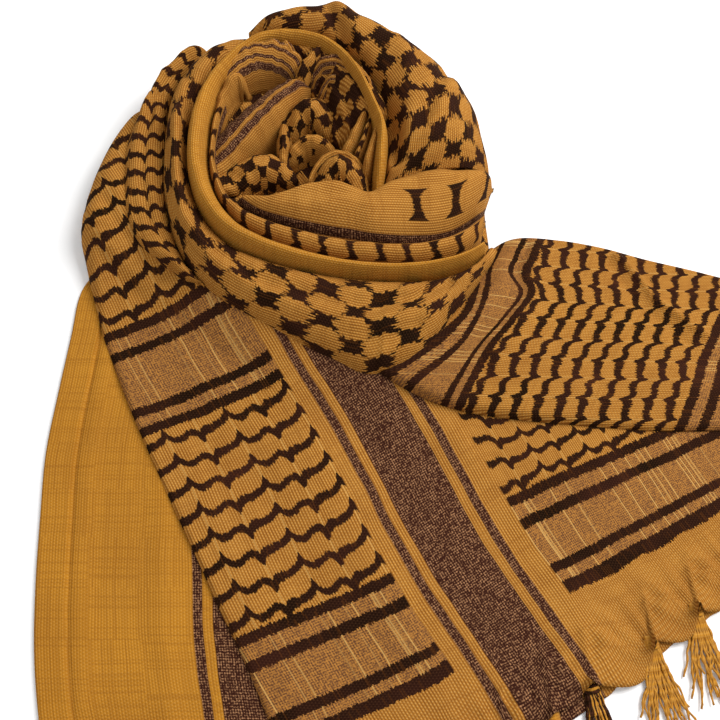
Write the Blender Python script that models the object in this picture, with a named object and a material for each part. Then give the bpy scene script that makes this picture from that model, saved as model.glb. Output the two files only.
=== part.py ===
# A square cotton head cloth with a knotted fringe, swirled into a rosette and laid flat.
# Every size is in millimetres, x to the right and y away from the hem, until a mesh is made.

import math

import bmesh
import bpy
from mathutils import Vector
from mathutils.bvhtree import BVHTree

MM = 0.001
CLOTH = 2.2                 # wall of a cloth piece
AIR = 0.35                  # air between a piece and what it lies on
BAND_AIR = 0.5              # the same under a long band or a laid panel
SEAM = 0.35                 # half of the air between two bands side by side
CENTRE = (112.625, -54.0)  # middle of the whole cloth, which becomes the origin

OCHRE = (0.50, 0.27, 0.055)
OCHRE_DARK = (0.33, 0.165, 0.035)
BROWN = (0.16, 0.075, 0.035)
BLACK = (0.025, 0.016, 0.012)

# The hidden layers, as a mound round its own middle, with a hollow at the top.
MOUND_MIDDLE = (-50.0, 165.0)
HOLLOW_FLOOR = 29.0
HOLLOW_SHARE = 0.45         # the floor's share of the ridge's radius
MOUND_SHARE = 0.96          # how far out the mound is carried before it is cut down to the floor
MOUND_SINK = 0.3            # how far the mound's faces are kept under its exact form
# angle, ridge radius, ridge height, reach
MOUND = (
    (0, 90, 60, 143),
    (30, 100, 64, 154),
    (60, 116, 62, 144),
    (90, 110, 58, 140),
    (120, 95, 50, 150),
    (150, 88, 48, 152),
    (180, 84, 47, 162),
    (210, 80, 46, 165),
    (240, 70, 45, 182),
    (270, 62, 46, 205),
    (300, 66, 46, 215),
    (330, 78, 46, 185),
)

# The rolled selvedge, along its middle from the right of the hollow, counter-clockwise.
# x, y, crest, width
ROLL = (
    (12, 128, 62, 8),
    (16, 150, 78, 10),
    (17, 170, 85, 10),
    (11, 190, 86, 10),
    (0, 219, 86, 10),
    (-15, 244, 84, 10),
    (-33, 261, 82, 10),
    (-59, 269, 80, 11),
    (-83, 268, 77, 12),
    (-102, 255, 75, 13),
    (-121, 230, 73, 14),
    (-131, 199, 72, 16),
    (-133, 167, 71, 17),
    (-130, 138, 70, 16),
    (-120, 111, 68, 15),
    (-101, 88, 66, 14),
    (-76, 74, 64, 12),
    (-46, 64, 62, 11),
    (-12, 57, 60, 10),
    (23, 55, 58, 10),
    (54, 58, 57, 9),
    (79, 66, 55, 8),
    (96, 79, 50, 7),
    (104, 94, 40, 7),
)

# The broad band under the roll. Its inner edge follows the roll's outer edge.
# roll row, outer x, outer y, rim share, rim height
FRONT_BAND = (
    (8.52, -101, 290, 0.64, 62),
    (8.85, -125, 287, 0.65, 61),
    (9.3, -143, 273, 0.64, 64),
    (10.0, -157, 250, 0.60, 64),
    (10.7, -164, 224, 0.60, 62),
    (11.4, -164, 195, 0.60, 61),
    (12.2, -163, 165, 0.60, 60),
    (13.0, -160, 132, 0.60, 59),
    (13.8, -152, 98, 0.60, 58),
    (14.6, -138, 68, 0.62, 56),
    (15.3, -118, 46, 0.66, 54),
    (16.0, -94, 29, 0.70, 53),
    (16.7, -69, 15, 0.72, 52),
    (17.4, -43, 1, 0.74, 51),
    (18.0, -18, -11, 0.74, 50),
    (18.7, 6, -21, 0.74, 50),
    (19.4, 34, -14, 0.74, 50),
    (20.2, 56, 3, 0.70, 49),
    (21.0, 72, 22, 0.66, 47),
    (21.8, 87, 43, 0.60, 44),
    (22.3, 98, 60, 0.55, 39),
    (22.7, 107, 74, 0.50, 33),
    (23.0, 112, 86, 0.50, 27),
)

# The fold outside the front band on the left. Its inner edge follows that band's outer edge.
# front band row, outer x, outer y, rim share, rim height
LEFT_FOLD = (
    (1.2, -138, 294, 0.5, 24),
    (1.5, -149, 292, 0.5, 41),
    (2.0, -163, 281, 0.5, 47),
    (2.7, -178, 259, 0.5, 47),
    (3.6, -187, 234, 0.5, 46),
    (4.5, -193, 208, 0.5, 45),
    (5.5, -197, 181, 0.5, 44),
    (6.4, -195, 149, 0.5, 44),
    (7.2, -192, 122, 0.5, 44),
    (8.0, -183, 97, 0.5, 43),
    (8.7, -166, 76, 0.5, 42),
    (9.4, -142, 58, 0.5, 40),
    (9.8, -128, 52, 0.5, 24),
)

# The band inside the roll. Its outer edge follows the roll's inner edge.
# roll row, inner x, inner y, rim share, rim height
DASH_BAND = (
    (10.0, -106, 233, 0.45, 60),
    (10.6, -111, 213, 0.5, 62),
    (11.4, -116, 188, 0.5, 63),
    (12.3, -118, 160, 0.5, 63),
    (13.2, -113, 137, 0.5, 63),
    (14.3, -101, 115, 0.5, 62),
    (15.2, -83, 102, 0.55, 62),
    (16.4, -56, 91, 0.6, 61),
    (17.5, -24, 83, 0.6, 60),
    (18.6, 12, 78, 0.6, 59),
    (19.6, 43, 79, 0.6, 58),
    (20.6, 67, 86, 0.6, 56),
    (21.4, 85, 99, 0.6, 52),
    (22.1, 99, 115, 0.6, 44),
    (22.6, 107, 127, 0.6, 33),
    (22.9, 110, 134, 0.6, 20),
)

# The plain band inside that one. Its outer edge follows the inner edge of the dash band.
# dash band row, inner x, inner y, rim share, rim height
PLAIN_BAND = (
    (5.2, -89, 121, 0.55, 60),
    (6.0, -70, 118, 0.6, 66),
    (6.6, -54, 121, 0.72, 70),
    (7.3, -38, 126, 0.82, 72),
    (8.0, -20, 128, 0.85, 72),
    (8.6, -6, 124, 0.84, 71),
    (9.1, 8, 122, 0.78, 69),
    (9.6, 24, 133, 0.76, 68),
    (10.2, 44, 140, 0.75, 67),
    (10.9, 66, 147, 0.74, 65),
    (11.8, 88, 154, 0.72, 60),
    (12.7, 103, 158, 0.70, 51),
    (13.5, 111, 160, 0.65, 38),
    (13.9, 114, 161, 0.60, 22),
)

# The crown, the puffed cloth behind and to the right of the roll.
# roll row, outer x, outer y, rim share, rim height
CROWN = (
    (0.25, 113, 165, 0.60, 52),
    (0.7, 112, 180, 0.58, 72),
    (1.3, 108, 198, 0.56, 84),
    (1.9, 104, 217, 0.54, 88),
    (2.6, 93, 235, 0.52, 89),
    (3.3, 77, 255, 0.52, 88),
    (4.0, 53, 275, 0.52, 88),
    (4.7, 27, 293, 0.54, 88),
    (5.3, 4, 309, 0.56, 87),
    (5.9, -15, 322, 0.58, 85),
    (6.5, -36, 316, 0.58, 82),
    (7.1, -57, 311, 0.58, 80),
    (7.8, -79, 302, 0.58, 76),
    (8.4, -97, 289, 0.58, 66),
)

# The folds that stand in the hollow, each along its own middle.
# x, y, crest, width
HOLLOW_FOLDS = {
    "striped_fold": (OCHRE_DARK, (
        (-107, 156, 52, 18), (-96, 183, 60, 27), (-78, 206, 62, 28), (-59, 227, 58, 20))),
    "leaf_fold": (OCHRE, (
        (-109.7, 197, 56, 8), (-106.4, 211, 62, 9), (-103.2, 225, 58, 8))),
    "woven_fold": (BROWN, (
        (-93, 239, 58, 15), (-84, 245, 67, 22), (-71, 246, 68, 23), (-58, 241, 60, 15))),
    "top_fold": (OCHRE, (
        (-50, 251, 64, 13), (-40, 249, 71, 14), (-30, 243, 71, 13), (-22, 234, 62, 12))),
    "arc_fold": (OCHRE_DARK, (
        (-42, 225, 52, 10), (-32, 226, 61, 12), (-20, 217, 63, 12), (-16, 202, 54, 10))),
    "fan_fold": (OCHRE, (
        (-6.5, 194, 64, 10), (-4, 182, 68, 14), (-2, 170, 66, 15), (0, 158, 61, 11))),
    "knot_fold": (OCHRE_DARK, (
        (-41, 138, 54, 14), (-26, 142, 66, 24), (-10, 141, 68, 24), (3, 132, 60, 12))),
    "middle_fold": (OCHRE_DARK, (
        (-68, 162, 44, 12), (-62, 180, 52, 17), (-50, 194, 57, 20), (-34, 195, 52, 14))),
    "lower_fold": (OCHRE_DARK, (
        (-99, 140, 48, 12), (-86, 143, 53, 18), (-71, 141, 51, 16), (-57, 136, 46, 11))),
}

# The main flap, a row for each section across it, from the left shoulder to the hem.
# left x, left y, right x, right y, edge radius, left height, middle height, right height
MAIN_FLAP = (
    (-194, 247, -187, 242, 4, 6, 8, 8),
    (-204, 224, -186, 214, 9, 24, 29, 29),
    (-219, 193, -188, 183, 14, 30, 34, 33),
    (-230, 158, -187, 150, 18, 31, 35, 34),
    (-235, 126, -184, 122, 20, 30, 35, 34),
    (-234, 106, -174, 98, 18, 27, 33, 34),
    (-229, 88, -152, 76, 15, 21, 28, 34),
    (-223, 68, -130, 60, 12, 16, 22, 33),
    (-215, 44, -108, 45, 9, 12, 17, 32),
    (-206, 17, -86, 33, 7, 9, 13, 31),
    (-192, -15, -56, 18, 6, 8, 11, 30),
    (-177, -48, -22, 2, 5, 7, 10, 29),
    (-159, -84, 14, -10, 5, 7, 8, 27),
    (-139, -123, 60, -24, 5, 7, 7, 15),
    (-119, -161, 112, -33, 5, 7, 6, 8),
    (-99, -200, 172, -40, 5, 6.5, 5.5, 4.0),
    (-79, -237, 235, -42, 5, 6.4, 5.2, 2.6),
    (-62, -273, 310, -41, 5, 6.3, 4.8, 2.2),
    (-42, -316, 404, -40, 5, 6.2, 4.2, 2.2),
    (-18, -364, 404, -85, 5, 6.2, 3.8, 2.2),
)

# The right panel, a row for each section from its front fold to its back edge.
# front x, y, middle x, y, back x, y, front height, middle height, back height
RIGHT_PANEL = (
    (14, -20, 58, 24, 102, 90, 24, 28, 12),
    (42, -35, 80, 26, 112, 97, 20, 31, 18),
    (66, -44, 98, 27, 122, 101, 18, 30, 23),
    (92, -50, 117, 27, 136, 104, 16, 27, 24),
    (125, -54, 143, 26, 157, 105, 13, 22, 20),
    (160, -57, 169, 24, 181, 103, 11, 18, 16),
    (196, -60, 199, 21, 207, 99, 10, 14, 12),
    (232, -62, 232, 17, 238, 91, 9, 11, 9),
    (270, -62, 268, 12, 273, 82, 8, 9, 7),
    (310, -60, 308, 6, 312, 70, 7, 7, 6),
    (355, -56, 355, -1, 356, 56, 6, 5, 5),
    (400, -50, 400, -6, 400, 43, 5, 4, 4),
)
PANEL_EDGE_RADIUS = 6.0
SETTLE = 1.0                # a panel this near to what is under it lies on it

# The left panel, a row for each section across it, from under the shoulder to its hem.
# left x, right x, y
LEFT_PANEL = (
    (-218, -196, 84),
    (-230, -180, 60),
    (-233, -165, 20),
    (-237, -145, -30),
    (-240, -125, -80),
    (-237.5, -102, -130),
    (-234, -78, -180),
    (-228, -52, -230),
    (-217, -30, -280),
    (-199, -5, -340),
)
SELVEDGE_HEM = 15.0         # the turned hem down the left panel's outer edge
HEM_STEP = 0.9              # how much higher the turned hem is
HEM_START = 60.0            # where, on its way away from the shoulder, it has begun


def blend(a, b, share):
    return a + (b - a) * share


def smooth_step(share):
    share = min(max(share, 0.0), 1.0)
    return share * share * (3.0 - 2.0 * share)


def soft_max(a, b, reach):
    return 0.5 * (a + b + math.sqrt((a - b) ** 2 + reach ** 2))


def along(rows, place):
    # A smooth line through the rows of a table, at a row number that may fall between two rows.
    last = len(rows) - 1
    place = min(max(place, 0.0), float(last))
    row = min(int(place), last - 1)
    share = place - row

    def slope(index, column):
        before, after = max(index - 1, 0), min(index + 1, last)
        return (rows[after][column] - rows[before][column]) / (after - before)

    values = []
    for column in range(len(rows[0])):
        start, end = rows[row][column], rows[row + 1][column]
        lean_in, lean_out = slope(row, column), slope(row + 1, column)
        values.append(
            start * (2 * share ** 3 - 3 * share ** 2 + 1)
            + lean_in * (share ** 3 - 2 * share ** 2 + share)
            + end * (3 * share ** 2 - 2 * share ** 3)
            + lean_out * (share ** 3 - share ** 2)
        )
    return values


def even_places(rows, count, columns=2):
    # Row numbers that part the line through the rows into equal lengths.
    fine = 20 * (len(rows) - 1)
    places = [index * (len(rows) - 1) / fine for index in range(fine + 1)]
    points = [along(rows, place)[:columns] for place in places]
    lengths = [0.0]
    for a, b in zip(points, points[1:]):
        lengths.append(lengths[-1] + math.dist(a, b))
    even = []
    step = 0
    for index in range(count + 1):
        wanted = lengths[-1] * index / count
        while step < fine - 1 and lengths[step + 1] < wanted:
            step += 1
        span = lengths[step + 1] - lengths[step]
        even.append(blend(places[step], places[step + 1], (wanted - lengths[step]) / span))
    return even


def mound_top(x, y):
    # Height of the hidden layers' upper side above the floor, or below 0 outside them.
    dx, dy = x - MOUND_MIDDLE[0], y - MOUND_MIDDLE[1]
    radius = math.hypot(dx, dy)
    sector = (math.degrees(math.atan2(dy, dx)) % 360.0) / 30.0
    row = int(sector) % len(MOUND)
    share = smooth_step(sector - int(sector))
    here, there = MOUND[row], MOUND[(row + 1) % len(MOUND)]
    ridge, height, reach = (blend(here[column], there[column], share) for column in (1, 2, 3))
    if radius < ridge:
        floor_radius = HOLLOW_SHARE * ridge
        rise = smooth_step((radius - floor_radius) / (ridge - floor_radius))
        return blend(HOLLOW_FLOOR, height, rise)
    return height * (1.0 - ((radius - ridge) / (reach - ridge)) ** 2)


class Support:
    # What a piece lies on: the floor, the hidden layers and the pieces named.

    def __init__(self, names=(), air=AIR, radius=0.0):
        self.trees = [TREES[name] for name in names]
        self.air = air
        self.around = [(0.0, 0.0)]
        for turn in range(8):
            for share in (0.5, 1.0):
                angle = 0.25 * math.pi * turn
                self.around.append((
                    share * radius * math.cos(angle), share * radius * math.sin(angle)))

    def top(self, x, y):
        height = max(0.0, mound_top(x, y))
        for dx, dy in self.around:
            start = Vector((x + dx, y + dy, 500.0))
            for tree in self.trees:
                hit = tree.ray_cast(start, Vector((0, 0, -1)))[0]
                if hit is not None:
                    height = max(height, hit.z)
        return height

    def rest(self, x, y):
        # A little above what is there, or on the floor itself.
        height = self.top(x, y)
        return height + self.air if height > 0.0 else 0.0


TREES = {}


def make_object(name, mesh_data, colour):
    bmesh.ops.recalc_face_normals(mesh_data, faces=mesh_data.faces)
    bmesh.ops.triangulate(mesh_data, faces=mesh_data.faces)
    TREES[name] = BVHTree.FromBMesh(mesh_data)
    shift = Vector((CENTRE[0], CENTRE[1], 0.0))
    for vertex in mesh_data.verts:
        vertex.co = (vertex.co - shift) * MM
    mesh = bpy.data.meshes.new(name)
    mesh_data.to_mesh(mesh)
    mesh_data.free()
    mesh.shade_smooth()
    material = bpy.data.materials.new(name)
    material.use_nodes = True
    shader = material.node_tree.nodes["Principled BSDF"]
    shader.inputs["Base Color"].default_value = (*colour, 1.0)
    shader.inputs["Roughness"].default_value = 0.9
    shader.inputs["Metallic"].default_value = 0.0
    mesh.materials.append(material)
    item = bpy.data.objects.new(name, mesh)
    bpy.context.scene.collection.objects.link(item)
    return item


def wall_solid(name, upper, lower, colour):
    # A closed wall between two grids of points, row for row.
    mesh_data = bmesh.new()
    top = [[mesh_data.verts.new(point) for point in row] for row in upper]
    under = [[mesh_data.verts.new(point) for point in row] for row in lower]
    rows, columns = len(top), len(top[0])
    for row in range(rows - 1):
        for column in range(columns - 1):
            for grid in (top, under):
                mesh_data.faces.new((
                    grid[row][column], grid[row][column + 1],
                    grid[row + 1][column + 1], grid[row + 1][column]))
        for column in (0, columns - 1):
            mesh_data.faces.new((
                top[row][column], top[row + 1][column],
                under[row + 1][column], under[row][column]))
    for row in (0, rows - 1):
        for column in range(columns - 1):
            mesh_data.faces.new((
                top[row][column], top[row][column + 1],
                under[row][column + 1], under[row][column]))
    return make_object(name, mesh_data, colour)


def arch_profile(width, rim, height, start, end, steps, fullness):
    # Places across a band and heights there, up from one edge to the rim and down to the other.
    points = []
    for index in range(steps + 1):
        turn = index / steps
        curve = 0.5 * math.pi * turn
        points.append((
            rim * blend(turn, 1.0 - math.cos(curve), fullness),
            blend(start, height, math.sin(curve))))
    for index in range(1, steps + 1):
        turn = index / steps
        curve = 0.5 * math.pi * turn
        points.append((
            blend(rim, width, blend(turn, math.sin(curve), fullness)),
            blend(end, height, math.cos(curve))))
    return points


def inner_profile(points, width):
    # The same line moved in by the wall, its two ends level with the outer ones.
    moved = []
    last = len(points) - 1
    for index, (place, height) in enumerate(points):
        before, after = points[max(index - 1, 0)], points[min(index + 1, last)]
        run, rise = after[0] - before[0], after[1] - before[1]
        length = math.hypot(run, rise)
        moved.append([place + rise / length * CLOTH, height - run / length * CLOTH])
    moved[0] = [min(CLOTH, 0.4 * width), points[0][1]]
    moved[last] = [max(width - CLOTH, 0.6 * width), points[last][1]]
    for index in range(1, last):
        moved[index][0] = min(max(moved[index][0], moved[0][0]), moved[last][0])
    return moved


def arch_section(outer, inner, rim_share, height, support, steps, fullness):
    # The upper and lower points of one section of a band, between two places in plan.
    width = math.dist(outer, inner)
    way = ((inner[0] - outer[0]) / width, (inner[1] - outer[1]) / width)

    def place(distance):
        return outer[0] + way[0] * distance, outer[1] + way[1] * distance

    start, end = support.rest(*outer), support.rest(*inner)
    height = max(height, start + 2 * CLOTH, end + 2 * CLOTH)
    line = arch_profile(width, rim_share * width, height, start, end, steps, fullness)
    upper, lower = [], []
    for (out_place, out_height), (in_place, in_height) in zip(line, inner_profile(line, width)):
        under = place(in_place)
        floor = support.rest(*under)
        in_height = max(in_height, floor)
        over = place(out_place)
        lower.append((*under, in_height))
        upper.append((*over, out_height))
    # the two edges stand on what is under them
    for side in (0, -1):
        level = upper[side][2]
        lower[side] = (*lower[side][:2], support.rest(*lower[side][:2]))
        upper[side] = (*upper[side][:2], level)
    for index in range(1, len(upper) - 1):
        x, y, level = upper[index]
        upper[index] = (x, y, max(level, lower[index][2] + 0.6 * CLOTH))
    return upper, lower


def edge_of(rows, place, side, clear):
    # A point beside a line of x, y, crest, width: side 1 is its outside, -1 its inside.
    before, after = along(rows, place - 0.05), along(rows, place + 0.05)
    run, rise = after[0] - before[0], after[1] - before[1]
    length = math.hypot(run, rise)
    x, y, _, width = along(rows, place)[:4]
    away = side * (width / 2 + clear)
    return x + rise / length * away, y - run / length * away


def ribbon(name, rows, colour, sections, steps, closing=0.0, under=()):
    # A band along the middle line of a table of x, y, crest, width, its ends closing down.
    support = Support(under, AIR, 4.0)
    last = len(rows) - 1
    upper, lower = [], []
    for place in even_places(rows, sections):
        x, y, crest, width = along(rows, place)
        end = min(place, last - place) / last
        fall = 1.0 if end >= closing else math.sqrt(1.0 - (1.0 - end / closing) ** 2)
        fall = max(fall, 0.5)
        crest = blend(support.rest(x, y) + 2 * CLOTH, crest, fall)
        narrow = -0.5 * width * (1.0 - fall)
        top, bottom = arch_section(
            edge_of(rows, place, 1, narrow), edge_of(rows, place, -1, narrow),
            0.5, crest, support, steps, 1.0)
        upper.append(top)
        lower.append(bottom)
    return wall_solid(name, upper, lower, colour)


def band(name, rows, known_edge, colour, sections, steps, fullness, under=(), known_outer=False):
    # A band between a known edge, found by its row number, and the edge in the table.
    support = Support(under, BAND_AIR, 5.0)
    upper, lower = [], []
    path = [(row[1], row[2], row[4]) for row in rows]
    for place in even_places(path, sections, 3):
        number, x, y, rim_share, height = along(rows, place)
        known = known_edge(number)
        outer, inner = ((known, (x, y)) if known_outer else ((x, y), known))
        top, bottom = arch_section(outer, inner, rim_share, height, support, steps, fullness)
        upper.append(top)
        lower.append(bottom)
    return wall_solid(name, upper, lower, colour)


def beside(rows, number, side):
    # A point a seam away from the edge that a table gives in its columns x and y.
    before, after = along(rows, number - 0.05), along(rows, number + 0.05)
    run, rise = after[1] - before[1], after[2] - before[2]
    length = math.hypot(run, rise)
    _, x, y = along(rows, number)[:3]
    return x + side * rise / length * 2 * SEAM, y - side * run / length * 2 * SEAM


def across_places(width, radius, count):
    # Places across a laid sheet, close together round its folded edge.
    rounded = min(radius, 0.4 * width)
    places = [rounded * (1.0 - math.cos(math.radians(angle))) for angle in (0, 30, 60, 90)]
    rest = count - 3
    places += [blend(rounded, width, index / rest) for index in range(1, rest + 1)]
    return places, rounded


def laid_point(x, y, level, distance, rounded, support):
    # Upper and lower point of a laid sheet that many millimetres from its folded edge.
    ground = support.rest(x, y)
    level = soft_max(level, ground + CLOTH, 1.2)
    if distance < rounded:
        lift = math.sqrt(max(0.0, 1.0 - (1.0 - distance / rounded) ** 2))
        full = blend(ground, level, lift)
    else:
        full = level
    under = full - CLOTH
    return full, under if under > ground + SETTLE else ground


def laid_sheet(name, sections, colour, support, columns, both_edges=False):
    # A sheet laid on what is under it; a section is a function of the share across it.
    upper, lower = [], []
    for point_at, width, radius in sections:
        places, rounded = across_places(width, radius, columns)
        if both_edges:
            places = places[:4] + [
                blend(rounded, width - rounded, index / (columns - 6))
                for index in range(1, columns - 5)]
            places += [width - rounded * (1.0 - math.sin(math.radians(angle)))
                       for angle in (30, 60, 90)]
        top, bottom = [], []
        for distance in places:
            x, y, level = point_at(distance / width)
            near = min(distance, width - distance) if both_edges else distance
            full, under = laid_point(x, y, level, near, rounded, support)
            top.append((x, y, full))
            bottom.append((x, y, under))
        # the folded edge has its lower points a wall's width in
        folded = [0] + ([-1] if both_edges else [])
        for side in folded:
            step = 1 if side == 0 else -1
            share = (CLOTH / width) if side == 0 else 1.0 - CLOTH / width
            x, y, _ = point_at(share)
            ground = support.rest(x, y)
            edge = top[side]
            top[side] = (edge[0], edge[1], support.rest(edge[0], edge[1]))
            bottom[side] = (x, y, ground)
            neighbour = bottom[side + step]
            if math.dist(edge[:2], neighbour[:2]) < CLOTH * 1.3:
                x, y, _ = point_at(share + step * 0.6 * CLOTH / width)
                bottom[side + step] = (x, y, max(support.rest(x, y), neighbour[2]))
        upper.append(top)
        lower.append(bottom)
    return wall_solid(name, upper, lower, colour)


def flap_ripple(u, v):
    # Long soft waves down the main flap, and bunched ones across its shoulder.
    down = 0.8 * math.sin(2.0 * math.pi * (2.6 * u + 0.35 * v)) * smooth_step((v - 0.35) / 0.3)
    shoulder = math.exp(-((v - 0.24) / 0.055) ** 2) * (1.0 - smooth_step((u - 0.3) / 0.35))
    return down + 1.6 * shoulder * math.sin(2.0 * math.pi * v * 34.0)


def main_flap():
    sections = []
    places = even_places(MAIN_FLAP, 28, 4)
    for place in places:
        row = along(MAIN_FLAP, place)
        width = math.dist(row[:2], row[2:4])

        def point_at(share, row=row, v=place / (len(MAIN_FLAP) - 1)):
            left, middle, right = row[5:8]
            level = (
                left * (1 - share) * (1 - 2 * share)
                + middle * 4 * share * (1 - share)
                + right * share * (2 * share - 1))
            return (blend(row[0], row[2], share), blend(row[1], row[3], share),
                    level + flap_ripple(share, v))

        sections.append((point_at, width, row[4]))
    return laid_sheet("main_flap", sections, OCHRE, Support(("left_panel",), BAND_AIR, 9.0), 15)


def right_panel():
    sections = []
    for place in even_places(RIGHT_PANEL, 20):
        row = along(RIGHT_PANEL, place)
        width = math.dist(row[:2], row[2:4]) + math.dist(row[2:4], row[4:6])

        def point_at(share, row=row, v=place):
            weights = ((1 - share) * (1 - 2 * share), 4 * share * (1 - share), share * (2 * share - 1))
            x = sum(weight * row[column] for weight, column in zip(weights, (0, 2, 4)))
            y = sum(weight * row[column] for weight, column in zip(weights, (1, 3, 5)))
            level = sum(weight * row[column] for weight, column in zip(weights, (6, 7, 8)))
            return x, y, level + 0.7 * math.sin(5.0 * share + 1.7 * v)

        sections.append((point_at, width, PANEL_EDGE_RADIUS))
    return laid_sheet(
        "right_panel", sections, OCHRE_DARK, Support(("main_flap",), BAND_AIR, 6.0), 14,
        both_edges=True)


def left_panel():
    upper, lower = [], []
    for place in even_places(LEFT_PANEL, 12):
        left, right, y = along(LEFT_PANEL, place)
        width = right - left
        shares = [0.0, 1.5 / width, (SELVEDGE_HEM - 1.0) / width, (SELVEDGE_HEM + 1.0) / width]
        shares += [blend(shares[3], 1.0, index / 6) for index in range(1, 7)]
        top, bottom = [], []
        for index, share in enumerate(shares):
            wave = max(0.0, math.sin(9.0 * share + 0.012 * y)) * 0.8 * smooth_step((share - 0.2) / 0.2)
            step = HEM_STEP * smooth_step((HEM_START - y) / 40.0) if index in (1, 2) else 0.0
            x = blend(left, right, share)
            top.append((x, y, CLOTH + step + wave - (0.8 if index == 0 else 0.0)))
            bottom.append((x, y, wave))
        upper.append(top)
        lower.append(bottom)
    return wall_solid("left_panel", upper, lower, OCHRE)


def hidden_layers():
    # The mound, lowered wherever a piece above comes close to it.
    rings, sectors = 16, 44
    trees = list(TREES.values())
    mesh_data = bmesh.new()
    grid = []
    for ring in range(1, rings + 1):
        line = []
        for sector in range(sectors):
            angle = 2.0 * math.pi * sector / sectors
            place = len(MOUND) * sector / sectors
            row = int(place)
            share = smooth_step(place - row)
            reach = blend(MOUND[row][3], MOUND[(row + 1) % len(MOUND)][3], share)
            radius = MOUND_SHARE * reach * (ring / rings) ** 0.9
            line.append((angle, radius))
        grid.append(line)

    def clear_top(angle, radius):
        lowest = 1000.0
        spread_round = 0.6 * 2.0 * math.pi / sectors
        for turn in (-1.0, -0.5, 0.0, 0.5, 1.0):
            for away in (-7.0, -3.5, 0.0, 3.5, 7.0):
                a = angle + turn * spread_round
                x = MOUND_MIDDLE[0] + max(radius + away, 0.0) * math.cos(a)
                y = MOUND_MIDDLE[1] + max(radius + away, 0.0) * math.sin(a)
                for tree in trees:
                    hit = tree.ray_cast(Vector((x, y, -10.0)), Vector((0, 0, 1)))[0]
                    if hit is not None:
                        lowest = min(lowest, hit.z - AIR)
        return max(min(lowest, mound_top(
            MOUND_MIDDLE[0] + radius * math.cos(angle),
            MOUND_MIDDLE[1] + radius * math.sin(angle)) - MOUND_SINK), 1.2)

    top = []
    for line in grid:
        ring_top = []
        for angle, radius in line:
            x = MOUND_MIDDLE[0] + radius * math.cos(angle)
            y = MOUND_MIDDLE[1] + radius * math.sin(angle)
            ring_top.append(mesh_data.verts.new((x, y, clear_top(angle, radius))))
        top.append(ring_top)
    peak = mesh_data.verts.new((*MOUND_MIDDLE, HOLLOW_FLOOR))
    base = mesh_data.verts.new((*MOUND_MIDDLE, 0.0))
    base_ring = [mesh_data.verts.new((vertex.co.x, vertex.co.y, 0.0)) for vertex in top[-1]]
    for sector in range(sectors):
        after = (sector + 1) % sectors
        mesh_data.faces.new((peak, top[0][sector], top[0][after]))
        mesh_data.faces.new((base, base_ring[after], base_ring[sector]))
        mesh_data.faces.new((top[-1][sector], base_ring[sector], base_ring[after], top[-1][after]))
        for ring in range(rings - 1):
            mesh_data.faces.new((
                top[ring][sector], top[ring + 1][sector],
                top[ring + 1][after], top[ring][after]))
    return make_object("hidden_layers", mesh_data, OCHRE_DARK)


# The knotted hems, a strip each, with its tassels as lengths along the strip.
# colour, start x, start y, end x, end y, strip height, strand length, lean, strands, tassels
FRINGES = {
    "hem_fringe": (
        OCHRE, 172, -238.5, 402, -86.3, 1.9, 68, -0.48, 4, (37, 78, 118, 158, 197, 236, 267)),
    "hem_fringe_left": (
        OCHRE, -14, -361.4, 144, -256.9, 1.9, 68, -0.48, 4, (12, 52, 92, 132, 172)),
    "band_tassel": (BLACK, 147, -254.9, 169, -240.4, 5.5, 72, -0.42, 8, (13.2,)),
    "right_fringe": (OCHRE, 400.4, -33, 400.4, 41, 1.9, 60, 0.0, 4, (9, 37, 65)),
    "left_fringe": (OCHRE, -196, -340.6, -34, -340.6, 1.9, 60, 0.0, 4, (16, 48, 81, 113, 146)),
}
STRIP_WIDE = 4.0            # the knotted strip along a hem that holds the strands
STRAND_WIDE = 1.5
STRAND_SPACE = 0.7
STRAND_STAGES = 3


def strip_cells(total, strands, tassels):
    # The strip's lengths where one cell ends and the next begins, each cell with its strand.
    reach = strands * STRAND_WIDE + (strands - 1) * STRAND_SPACE
    cells = [(0.0, None)]
    for tassel, middle in enumerate(tassels):
        place = middle - reach / 2
        for strand in range(strands):
            cells.append((place, (tassel, strand - (strands - 1) / 2)))
            place += STRAND_WIDE
            cells.append((place, None))
            place += STRAND_SPACE
    cells.append((total, None))
    return cells


def fringe(name, colour, start, end, high, length, lean, strands, tassels):
    # A strip along a hem with strands drawn out of its outer side in gathered tassels.
    way = (end - start).normalized()
    outward = Vector((way.y, -way.x, 0.0))
    cells = strip_cells((end - start).length, strands, tassels)
    mesh_data = bmesh.new()
    corner = {}
    for index, (place, _) in enumerate(cells):
        for side in (0, 1):
            for level in (0, 1):
                spot = start + way * place + outward * (AIR + side * STRIP_WIDE)
                spot.z = high * level + AIR * side * (1 - level)
                corner[index, side, level] = mesh_data.verts.new(spot)
    last = len(cells) - 1
    for here in range(last):
        there = here + 1
        for loop in (((0, 0), (0, 1)), ((0, 1), (1, 1)), ((1, 0), (0, 0))):
            (side_a, level_a), (side_b, level_b) = loop
            mesh_data.faces.new((
                corner[here, side_a, level_a], corner[there, side_a, level_a],
                corner[there, side_b, level_b], corner[here, side_b, level_b]))
        root = [corner[here, 1, 0], corner[there, 1, 0], corner[there, 1, 1], corner[here, 1, 1]]
        if cells[here][1] is None:
            mesh_data.faces.new(root)
        else:
            draw_strand(mesh_data, root, outward, way, cells[here][1], length, lean)
    for index in (0, last):
        mesh_data.faces.new([corner[index, 0, 0], corner[index, 0, 1],
                             corner[index, 1, 1], corner[index, 1, 0]])
    return make_object(name, mesh_data, colour)


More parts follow.
